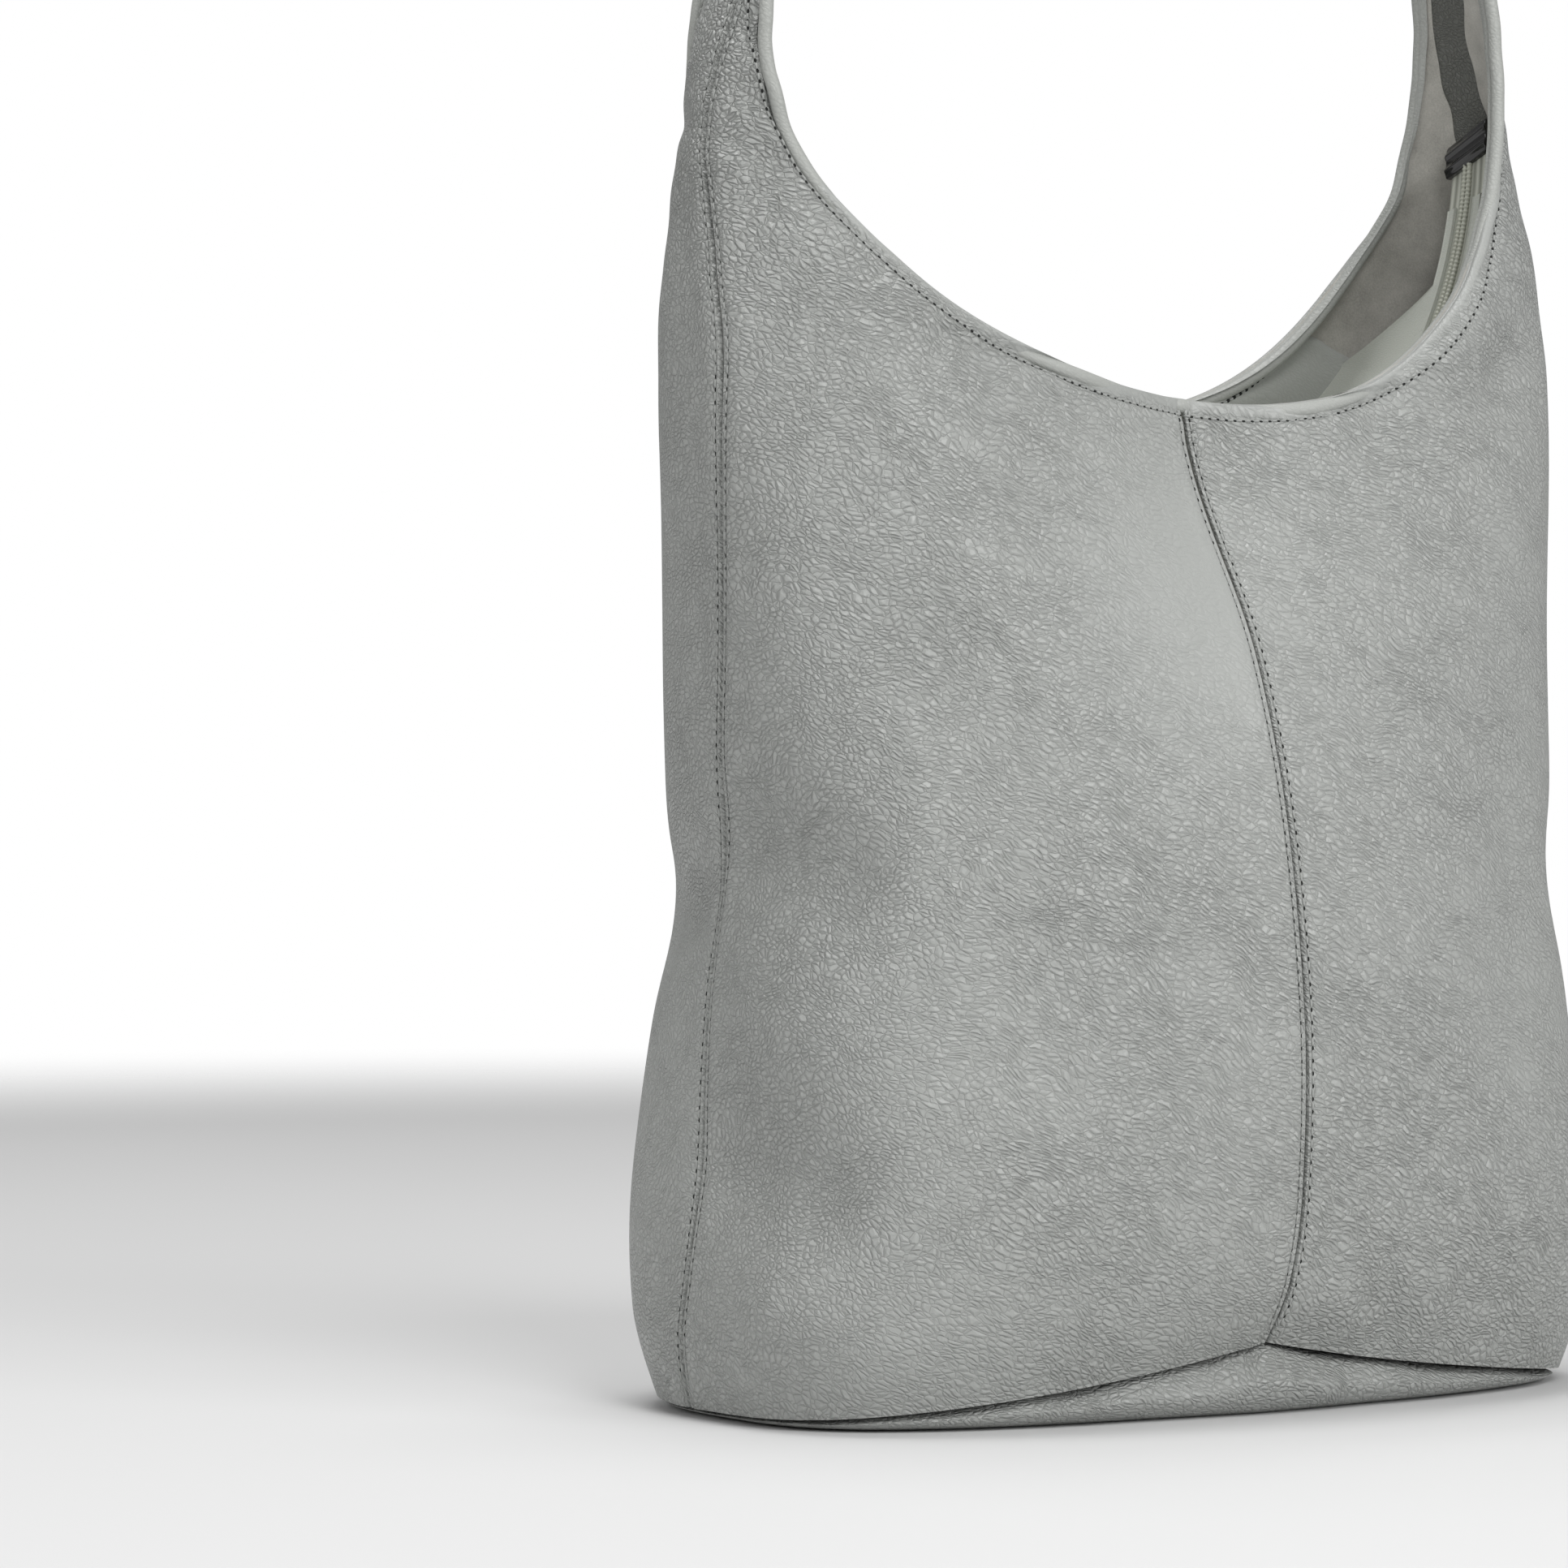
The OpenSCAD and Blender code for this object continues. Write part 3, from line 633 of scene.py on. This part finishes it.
def leatherBase():
    # a pillow: its rim rolls out from under the seam and in to a flat underside, puckered a little all round
    def rim(turn, inside):
        # the rim stands out along the front and back, and hides under the leather at the ends
        out = base["roll"] * (math.cos(turn) - 1) - inside * math.cos(turn)
        out = out - base["tuckIn"] * max(-math.sin(turn), 0) ** 0.5

        def height(ring):
            # from the floor to the seam by the sine of the turn, swollen a little by two sines
            seam = ring[:, 2] + 1.2 * mm
            pucker = 0.05 * np.sin(ring[:, 0] / 0.0075 + 2 * np.sin(ring[:, 1] / 0.02)) * math.cos(turn)
            return seam / 2 * (1 - math.sin(turn)) * (1 + pucker) + inside * mm * max(math.sin(turn), 0)

        def spread(share):
            # bulges between the corners by the cube of the share
            return out + base["cornerBulge"] + (base["bulge"] - base["cornerBulge"]) * np.abs(share) ** 3

        return baseRing(spread, height)

    turns = np.radians(np.linspace(-62, 90, base["rings"]))
    outer = [rim(t, 0) for t in turns]
    inner = [rim(t, base["thick"]) for t in turns]
    for rings, lift in ((outer, 0.9), (inner, 2.4)):
        last = rings[-1]
        for share in (0.93, 0.85, 0.7, 0.5, 0.3, 0.1):
            ring = last * [share, share, 1]
            ring[:, 2] = last[:, 2] + lift * mm * (1 - share) ** 0.5 * (share < 0.8)
            rings.append(ring)
    rings = np.stack(outer + inner[::-1])
    levels, count = rings.shape[:2]
    faces = quads(levels, count, closedRows=True, closedCols=True)
    middle = levels // 2 - 1
    faces = faces[faces[:, 0] // count != middle]
    caps = [np.arange(count) + middle * count, np.arange(count)[::-1] + (middle + 1) * count]
    points, turned = outwards(rings.reshape(-1, 3), faces)
    if turned[0, 0] != faces[0, 0]:
        caps = [cap[::-1] for cap in caps]
    piece = makePiece("pillowBase", [(points, turned)], hideLeather, polygons=caps)
    rides(piece, "bottom_panel")


leatherBase()
print("strap and base ready")

facing = {"fromRow": 3.4, "out": -2.3, "thick": 1.4, "cols": 34, "stitch": 4.6, "stitchDip": 0.35,
          "widths": [(3.4, 26), (3.6, 72), (4, 98), (5, 52), (5.6, 22), (6.1, 10), (11, 10)]}


def facingShare(row):
    # where the facing ends, as a share of the row: one less its width over the row's length
    rows, widths = np.array(facing["widths"]).T
    return 1 - np.interp(row, rows, widths) / rowLength(row)


def insideFacing(name, face, node):
    # turned-in leather round the opening: a plump band along the wings and strap that deepens at the dip
    parts = []
    for side in (1, -1):
        rows = np.concatenate([np.linspace(facing["fromRow"], 5.6, 60), np.linspace(5.63, topRow, 120)])
        first = facingShare(rows)[:, None]
        share = first + (0.999 - first) * crowded(0, 1, facing["cols"])
        row = np.broadcast_to(rows[:, None], share.shape)
        border = (share - first) * rowLength(rows)[:, None]
        plump = facing["thick"] * (1 - np.exp(-((border / 1.1) ** 1.2)))
        plump = plump * np.clip((row - rows[0]) / 0.02, 0, 1)
        d = edgeDistance(skin(row, share))
        pressed = facing["stitchDip"] * bell(d, facing["stitch"], 0.7) * (row > dipRow)
        outer = shell(row, share * face, facing["out"], side)
        inner = shell(row, share * face, facing["out"] - 0.15 - plump + pressed, side)
        parts.append(sheetPart(outer, inner))
    return bends(makePiece(name, parts, hemLeather), node)


lining = {"out": -1.5, "inner": -2.25}


def insideLining(name, face, node):
    # suede from the base to the strap, loose by a fraction of a millimetre
    parts = []
    for side in (1, -1):
        row, v = grid(np.linspace(0.05, strapRow, 150), np.linspace(0.001, 0.999, 60) * face)
        p = skin(row, v)
        wave = 0.25 * np.sin(p[..., 0] / 8 + 2 * np.sin(p[..., 2] / 21)) * np.sin(p[..., 2] / 11)
        outer = shell(row, v, lining["out"], side)
        inner = shell(row, v, lining["inner"] + wave * 0.3, side)
        parts.append(sheetPart(outer, inner))
    return bends(makePiece(name, parts, suede), node)


facings = {"front": insideFacing("frontFacing", 1, "front_facing"),
           "back": insideFacing("backFacing", -1, "back_facing")}
linings = {1: insideLining("frontLining", 1, "front_lining"),
           -1: insideLining("backLining", -1, "back_lining")}


def strapSuede():
    # the strap's own lining, from edge to edge under the top
    rows = np.linspace(strapRow - 0.02, 2 * topRow - strapRow + 0.02, 130)
    row, v = grid(rows, np.linspace(-0.99, 0.99, 40))
    part = sheetPart(shell(row, v, lining["out"], 1), shell(row, v, lining["inner"], 1))
    bends(makePiece("strapLining", [part], suede), "strap_lining")


strapSuede()

sideStrip = {"halfWidth": 8, "from": 5.3, "out": -2.35, "thick": 1.3}


def seamStrip(name, side, node):
    # a narrow leather strip sewn over the side seam inside, plump in the middle and a little wavy
    # along its edges
    rows = np.linspace(sideStrip["from"], topRow - 0.01, 150)
    width = sideStrip["halfWidth"] * (1 + 0.1 * np.sin(rows * 5.3) + 0.07 * np.sin(rows * 13.1))
    speed = np.linalg.norm(skin(rows, 0.02) - skin(rows, 0.0), axis=-1) / 0.02
    across = np.linspace(-1, 1, 22)
    share = (width / speed)[:, None] * across
    row = np.broadcast_to(rows[:, None], share.shape)
    plump = sideStrip["thick"] * (1 - np.abs(across) ** 6)[None, :]
    outer = shell(row, share, sideStrip["out"], side)
    inner = shell(row, share, sideStrip["out"] - 0.1 - plump, side)
    bends(makePiece(name, [sheetPart(outer, inner)], shadedSideStrip), node)


seamStrip("rightSideStrip", 1, "right_side_strip")
seamStrip("leftSideStrip", -1, "left_side_strip")
print("linings ready")

edge = {"halfWidth": 2.3, "halfHeight": 2.2, "inset": 1.6, "depth": 0.6}


def unit(vectors):
    # each vector over its own length
    return vectors / np.maximum(np.linalg.norm(vectors, axis=-1, keepdims=True), 1e-12)


def loopRows(count):
    # rows all round the opening: from the dip up the right wing, over the strap, and down the left wing
    half = crowded(dipRow, topRow, count, 0.06)
    return np.concatenate([half, 2 * topRow - half[-2:0:-1]])


def edgeFrame(face, count, out):
    # the opening's edge all round at a distance out from the skin in mm, with its along, across and outward
    # directions; across points from the opening into the leather
    rows = loopRows(count)
    v = face * 1.0
    path = shell(rows, v, out, 1)
    up = skinOut(folded(rows), v) * np.where(rows > topRow, -1, 1)[:, None] ** np.array([1, 0, 0])
    along = unit(np.roll(path, -1, 0) - np.roll(path, 1, 0))
    up = unit(up - (up * along).sum(-1, keepdims=True) * along)
    across = unit(np.cross(along, up))
    middle = np.array([0, 0, bag["loopMidH"] * mm])
    across = np.where(((middle - path) * across).sum(-1, keepdims=True) < 0, across, -across)
    return path, across, up


def edgeRoll(name, face):
    # the rolled edge: an oval cord of leather that follows the whole opening on one half
    path, across, up = edgeFrame(face, 420, -edge["depth"])
    path = path + across * edge["inset"] * mm
    part = tubePart(path, across, up, edge["halfWidth"] * mm, edge["halfHeight"] * mm, closed=True)
    bends(makePiece(name, [part], hemLeather))


edgeRoll("frontEdgeRoll", 1)
edgeRoll("backEdgeRoll", -1)

zipLine = {"radius": 147, "mid": 413, "end": 90, "tapeW": 9, "slew": 0.44, "slewFrom": 64,
           "cutFrom": 59, "cutTo": 71, "pitch": 1.5, "squashFrom": 54}


def surfaceTree(pieces):
    # one search tree over the finished surfaces of some pieces
    points, faces, start = [], [], 0
    for piece in pieces:
        mesh = piece.data
        co = np.empty(len(mesh.vertices) * 3)
        mesh.vertices.foreach_get("co", co)
        corner = np.empty(len(mesh.loops), dtype=np.int32)
        mesh.loops.foreach_get("vertex_index", corner)
        points.append(co.reshape(-1, 3))
        faces.append(corner.reshape(-1, 4) + start)
        start += len(mesh.vertices)
    return BVHTree.FromPolygons(np.concatenate(points).tolist(), np.concatenate(faces).tolist())


wallTrees = {face: surfaceTree([linings[face]]) for face in (1, -1)}


def wallDistance(face, angle):
    # how far the lining is from the zip's middle at an angle, in mm, just short of touching
    start = zipPlace(angle, 0.0, 2.0)
    hit = wallTrees[face].ray_cast(Vector(start), Vector((0, -face, 0)), 0.12)[3]
    return (hit or 0.03) / mm - 0.4


def zipPlace(angle, across, lift):
    # a point by the hanging zip: angle along its arc in degrees, distance across in mm and height above
    # the tape in mm. towards both ends the zip slews, so that its front edge runs on further up the wing
    # than its back edge
    share = np.clip((np.abs(angle) - zipLine["slewFrom"]) / (zipLine["end"] - zipLine["slewFrom"]), 0, 1)
    slew = zipLine["slew"] * share**2 * (3 - 2 * share)
    a = np.radians(angle) - np.sign(angle) * across * slew / zipLine["radius"]
    r = zipLine["radius"] - lift
    return np.stack([r * np.sin(a), across + 0 * a, zipLine["mid"] - r * np.cos(a)], -1) * mm


def zipStrip(name, face, node):
    # thin leather from the tape out to the wall: it sags between them and is cut off straight towards
    # each end
    a, s = grid(np.linspace(82, -82, 240), np.linspace(0, 1, 26))
    wall = np.array([wallDistance(face, angle) for angle in a[:, 0]])[:, None]
    cut = np.clip((zipLine["cutTo"] - np.abs(a)) / (zipLine["cutTo"] - zipLine["cutFrom"]), 0, 1)
    across = 4.6 + (3.6 + (wall - 8.2) * cut) * s
    lift = 0.9 + cut * s * (0.4 * np.sin(a / 3.1 + 4 * s) + 1.5 * s) - 2.2 * cut * np.sin(np.pi * s)
    fold = 0.5 * bell(s, 0, 0.05) + 0.3 * np.exp(-(((1 - s) / 0.04) ** 2))
    top = zipPlace(a, -face * across, lift + fold)
    under = zipPlace(a, -face * across, lift - 0.7)
    return rides(makePiece(name, [sheetPart(top, under)], zipLeather), node)


def zipTape(name, face, node):
    # a woven tape with a corded inner edge
    a, s = grid(np.linspace(zipLine["end"], -zipLine["end"], 180), np.linspace(0, 1, 8))
    across = 1.0 + (zipLine["tapeW"] - 1.0) * s
    top = zipPlace(a, -face * across, 0.35 * bell(s, 0, 0.15))
    under = zipPlace(a, -face * across, -0.6)
    return rides(makePiece(name, [sheetPart(top, under)], tape), node)


def zipCoil(name, face, node):
    # one row of moulded coil: a round bead whose thickness pulses once a tooth
    turns = int(math.radians(2 * zipLine["end"]) * zipLine["radius"] / zipLine["pitch"])
    a = np.linspace(zipLine["end"], -zipLine["end"] + 5, turns * 6)
    pulse = 1 + 0.16 * np.cos(np.arange(len(a)) * np.pi / 3 + (face > 0) * np.pi)
    path = zipPlace(a, -face * 1.12, 0.95)
    along = unit(np.gradient(path, axis=0))
    up = unit(zipPlace(a, 0.0, 1.0) - zipPlace(a, 0.0, 0.0))
    across = unit(np.cross(along, up))
    part = tubePart(path, across, up, 0.95 * mm * pulse, 0.85 * mm * pulse, sides=10)
    return rides(makePiece(name, [part], coilNylon), node)


zipHalves = {}
for word, face in (("front", 1), ("back", -1)):
    zipHalves[word] = [
        zipStrip(word + "ZipStrip", face, word + "_zip_strip"),
        zipTape(word + "ZipTape", face, word + "_zip_tape"),
        zipCoil(word + "ZipCoil", face, word + "_zip_coil"),
    ]

clip = {"length": 11, "halfWidth": 10.5, "half": 1.5, "lift": 0.5, "ridge": 0.8, "sides": 96}


def endClip(name, angle, node):
    # a folded clip over the tape ends: a flat oval with two ridges across it, carried across the zip
    turn = circle(clip["sides"])
    r = squared(turn, 5)
    along = clip["length"] / 2 * r * np.cos(turn)
    up = clip["half"] * r * np.sin(turn)
    ridges = sum(bell(along, centre, 1.0) for centre in (-2.6, 2.4))
    up = up + clip["ridge"] * ridges * (up > 0.5)
    s = np.array([-1, -0.985, -0.95, 0.95, 0.985, 1])
    shrink = np.array([0.86, 0.95, 1, 1, 0.95, 0.86])
    arc = np.degrees(along / zipLine["radius"])
    a = angle + arc[None, :] * shrink[:, None]
    lift = clip["lift"] + up[None, :] * shrink[:, None]
    ring = zipPlace(a, s[:, None] * clip["halfWidth"], lift)
    part = outwards(ring.reshape(-1, 3), quads(len(s), len(turn), closedCols=True))
    cap = np.arange(len(turn))
    caps = [cap, cap[::-1] + len(turn) * (len(s) - 1)]
    rides(makePiece(name, [part], glossBlack, polygons=caps), node)


endClip("rightZipEndClip", zipLine["end"] - 1, "right_zip_end_clip")
endClip("leftZipEndClip", 1 - zipLine["end"], "left_zip_end_clip")
print("zip ready")

stitch = {"pitch": 4.0, "length": 2.9, "radius": 0.4, "hole": 0.46, "holeLength": 0.72,
          "hemPitch": 3.2, "insidePitch": 2.9, "insideHole": 1.5, "upperHole": 0.6}


def evenly(path, pitch):
    # points along a path one pitch apart
    gone = np.concatenate([[0], np.cumsum(np.linalg.norm(np.diff(path, axis=0), axis=-1))])
    at = np.arange(pitch / 2, gone[-1], pitch)
    return np.stack([np.interp(at, gone, path[:, k]) for k in range(3)], -1)


def layOn(tree, points, out):
    # moves points onto the nearest surface that a line along out meets, and returns them with its facing
    hits = [tree.ray_cast(Vector(p + n * 0.009), Vector(-n), 0.022) for p, n in zip(points, out)]
    kept = [k for k, hit in enumerate(hits) if hit[0] is not None]
    places = np.array([hits[k][0] for k in kept])
    facingOut = np.array([hits[k][1] for k in kept])
    return places, facingOut, np.array(kept)


def copies(faces, count, size):
    # one shape's faces repeated for a number of copies that each have the same number of points
    return (faces[None] + np.arange(count)[:, None, None] * size).reshape(-1, 4)


def stitchRow(tree, path, out, pitch=None, hole=1.0):
    # thread: short capsules that arch over the leather and dive into it; dark lenses are painted shade in the
    # needle holes
    pitch = (pitch or stitch["pitch"]) * mm
    centres = evenly(path, pitch)
    nearest = np.linalg.norm(centres[:, None] - path[None, ::4], axis=-1).argmin(1) * 4
    centres, up, kept = layOn(tree, centres, out[nearest])
    along = unit(np.gradient(centres, axis=0))
    across = unit(np.cross(along, up))
    rings, sides = 7, 6
    s = np.linspace(-1, 1, rings)
    turn = circle(sides)
    half = pitch * stitch["length"] / stitch["pitch"] / 2
    arch = (0.28 - 0.62 * s**4) * mm
    thick = stitch["radius"] * mm * np.sqrt(np.clip(1.02 - s**6, 0.02, 1))
    line = centres[:, None] + along[:, None] * (half * s)[None, :, None] + up[:, None] * arch[None, :, None]
    ring = line[:, :, None] + across[:, None, None] * (thick[:, None] * np.cos(turn))[None, ..., None]
    ring = ring + up[:, None, None] * (thick[:, None] * np.sin(turn))[None, ..., None]
    count = len(centres)
    size = rings * sides
    start = np.array([[0, 1, 2, 3], [0, 3, 4, 5]])
    end = size - sides + np.array([[0, 3, 2, 1], [0, 5, 4, 3]])
    body = copies(quads(rings, sides, closedCols=True), count, size)
    faces = np.vstack([body, copies(np.vstack([start, end]), count, size)])
    threads = outwards(ring.reshape(-1, 3), faces)
    spot = centres + along * pitch / 2
    turn = circle(8)
    r, long = stitch["hole"] * mm * hole, stitch["holeLength"] * mm * hole
    levels = np.array([[0.02, -0.25], [1, 0.05], [0.6, 0.22], [0.02, 0.26]])
    lens = spot[:, None, None] + up[:, None, None] * (levels[:, 1] * r)[None, :, None, None]
    lens = lens + along[:, None, None] * (levels[:, :1] * long * np.cos(turn))[None, ..., None]
    lens = lens + across[:, None, None] * (levels[:, :1] * r * np.sin(turn))[None, ..., None]
    shape = len(levels), len(turn)
    faces = copies(quads(*shape, closedCols=True), count, math.prod(shape))
    return threads, outwards(lens.reshape(-1, 3), faces)


def sewn(name, rows):
    # joins some stitch rows into one piece of thread and one of dark lenses, the painted shade in the needle
    # holes
    for suffix, k, finish in (("Thread", 0, thread), ("HoleShade", 1, holeShade)):
        bends(makePiece(name + suffix, [row[k] for row in rows], finish, sharp=80))


def besideSeam(start, end, atCentre, distance, side, face):
    # a line on the skin at a set distance from the side seam or the centre seam, with its outward direction
    rows = np.linspace(start, end, 500)
    near, far = (0.99, 1.0) if atCentre else (0.0, 0.01)
    speed = np.linalg.norm(skin(rows, far) - skin(rows, near), axis=-1) / 0.01
    v = (1 - distance / speed if atCentre else distance / speed) * face
    out = skinOut(rows, v) * [side, 1, 1]
    return shell(rows, v, 0, side), out


def besideEdge(distance, face, out):
    # a line that keeps a set distance from the opening's edge all round, with its outward direction
    path, across, up = edgeFrame(face, 600, out)
    return path + across * distance * mm, up


# stretches of each side seam: rows from and to, and how big its needle holes are
sideRows = [(0.12, dipRow, 1), (dipRow, strapRow - 0.08, stitch["upperHole"]),
            (lapRow, topRow - 0.03, stitch["upperHole"])]
for word, face in (("front", 1), ("back", -1)):
    leather = surfaceTree([panels["right", word], panels["left", word], straps[word]])
    seams = []
    for side in (1, -1):
        seams.append(stitchRow(leather, *besideSeam(0.12, 3.97, True, panel["stitchGap"], side, face)))
        for start, end, hole in sideRows:
            line = besideSeam(start, end, False, panel["stitchGap"], side, face)
            seams.append(stitchRow(leather, *line, hole=hole))
    sewn(word + "Seam", seams)
    line = besideEdge(panel["hemStitch"], face, 0)
    sewn(word + "Hem", [stitchRow(leather, *line, pitch=stitch["hemPitch"])])
    inside = surfaceTree([facings[word]])
    line, out = besideEdge(facing["stitch"], face, -4.0)
    row = stitchRow(inside, line, -out, pitch=stitch["insidePitch"], hole=stitch["insideHole"])
    sewn(word + "InsideHem", [row])
print("stitches ready")

# flat sheets in the base: how far each is set in, its height over the floor and its thickness, in mm
insole = {"inset": 9, "z": 4.4, "thick": 0.8}
stiffener = {"inset": 18, "z": 2.2, "thick": 1.8}


def flatBaseSheet(name, finish, slotName, node, inset, z, thick):
    # a flat sheet with the base's outline, set in by a distance
    rings = [baseRing(lambda share: np.full(len(share), -inset), lambda ring, h=h: np.full(len(ring), h * mm))
             for h in (z, z + thick)]
    rings = np.stack(rings)
    count = rings.shape[1]
    part = outwards(rings.reshape(-1, 3), quads(2, count, closedCols=True))
    flipped = part[1][0, 0] != 0
    caps = [np.arange(count), np.arange(count)[::-1] + count]
    caps = caps if flipped else [cap[::-1] for cap in caps]
    rides(makePiece(name, [part], finish, polygons=caps), node)


flatBaseSheet("bottomLining", suede, "suede_lining", "bottom_lining", **insole)
flatBaseSheet("baseBoard", board, "base_board", "base_board", **stiffener)

for name in ("zip_slider", "zip_pull"):
    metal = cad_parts[name]
    metal.data.materials.clear()
    metal.data.materials.append(plated)

for word, face in (("front", 1), ("back", -1)):
    for piece in zipHalves[word]:
        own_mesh(piece)


# the floor's radius and fade are in m; each lamp: degrees round from the front to the right, degrees up,
# distance, width and height in m, and watts
studio = {"room": 0.3, "backdrop": 1.0, "floor": "#dedede", "floorRadius": 3.2, "fade": (1.3, 2.0), "lamps": {
    "key": (16, 15, 2.4, 1.2, 1.2, 22), "high": (-14, 44, 2.3, 0.8, 0.8, 17),
    "strip": (-80, 20, 1.9, 0.25, 1.0, 5), "top": (213, 83, 2.2, 1.2, 1.2, 33),
}}


def stage():
    # a pale round floor that fades out well inside its rim, a white backdrop with a dimmer room to light
    # by, and four soft lamps: low and high from the front, a narrow one from the left and one from above
    disc = bpy.data.meshes.new("floor")
    turn = circle(96)
    rim = np.stack([np.cos(turn), np.sin(turn), 0 * turn], -1) * studio["floorRadius"]
    disc.from_pydata(rim.tolist(), [], [list(range(len(turn)))])
    floor = bpy.data.objects.new("floor", disc)
    bpy.context.scene.collection.objects.link(floor)
    finish = bpy.data.materials.new("paleFloor")
    finish.use_nodes = True
    tree = finish.node_tree
    shader = tree.nodes["Principled BSDF"]
    shader.inputs["Base Color"].default_value = linear(studio["floor"])
    shader.inputs["Roughness"].default_value = 0.6
    shader.inputs["Specular IOR Level"].default_value = 0.2
    place = add(tree, "TexCoord").outputs["Object"]
    far = add(tree, "VectorMath", {"operation": "LENGTH"}, {}, i0=place).outputs["Value"]
    reach = dict(zip(("From Min", "From Max"), studio["fade"]))
    fade = add(tree, "MapRange", {"interpolation_type": "SMOOTHSTEP"}, reach, Value=far).outputs[0]
    clear = add(tree, "BsdfTransparent").outputs[0]
    mixed = add(tree, "MixShader", i0=fade, i1=shader.outputs[0], i2=clear).outputs[0]
    tree.links.new(mixed, tree.nodes["Material Output"].inputs["Surface"])
    disc.materials.append(finish)
    sky = bpy.data.worlds.new("paleRoom")
    sky.use_nodes = True
    bpy.context.scene.world = sky
    room = sky.node_tree
    dim = room.nodes["Background"]
    dim.inputs["Color"].default_value = (1, 1, 1, 1)
    dim.inputs["Strength"].default_value = studio["room"]
    white = add(room, "Background", inputs={"Color": (1, 1, 1, 1), "Strength": studio["backdrop"]}).outputs[0]
    seen = add(room, "LightPath").outputs["Is Camera Ray"]
    shown = add(room, "MixShader", i0=seen, i1=dim.outputs[0], i2=white).outputs[0]
    room.links.new(shown, room.nodes["World Output"].inputs["Surface"])
    for name, (turn, rise, away, width, height, power) in studio["lamps"].items():
        turn, rise = math.radians(turn), math.radians(rise)
        level = math.cos(rise)
        spot = Vector((math.sin(turn) * level, -math.cos(turn) * level, math.sin(rise))) * away
        lamp = bpy.data.lights.new(name, "AREA")
        lamp.shape = "RECTANGLE"
        lamp.size, lamp.size_y = width, height
        lamp.energy = power
        holder = bpy.data.objects.new(name, lamp)
        holder.location = spot + Vector((0, 0, 0.25))
        holder.rotation_euler = (-spot).to_track_quat("-Z", "Y").to_euler()
        bpy.context.scene.collection.objects.link(holder)
    bpy.context.scene.view_settings.view_transform = "Standard"


def lookThrough():
    # a long lens from the left of the front, a little below the opening's height
    view = {"azimuth": 33, "pitch": 1.1, "distance": 2.255, "lens": 158.9, "right": -0.1078, "up": 0.1983}
    a, e = math.radians(view["azimuth"]), math.radians(view["pitch"])
    back = Vector((-math.sin(a) * math.cos(e), -math.cos(a) * math.cos(e), math.sin(e)))
    across = Vector((math.cos(a), -math.sin(a), 0))
    spot = across * view["right"] + Vector((0, 0, view["up"])) + back * view["distance"]
    camera = bpy.data.cameras.new("camera")
    camera.lens = view["lens"]
    camera.sensor_width = 36
    camera.clip_end = 50
    holder = bpy.data.objects.new("camera", camera)
    up = back.cross(across)
    turn = Matrix((across, up, back)).transposed()
    holder.matrix_world = Matrix.Translation(spot) @ turn.to_4x4()
    bpy.context.scene.collection.objects.link(holder)
    bpy.context.scene.camera = holder


stage()
lookThrough()
print("stage ready")
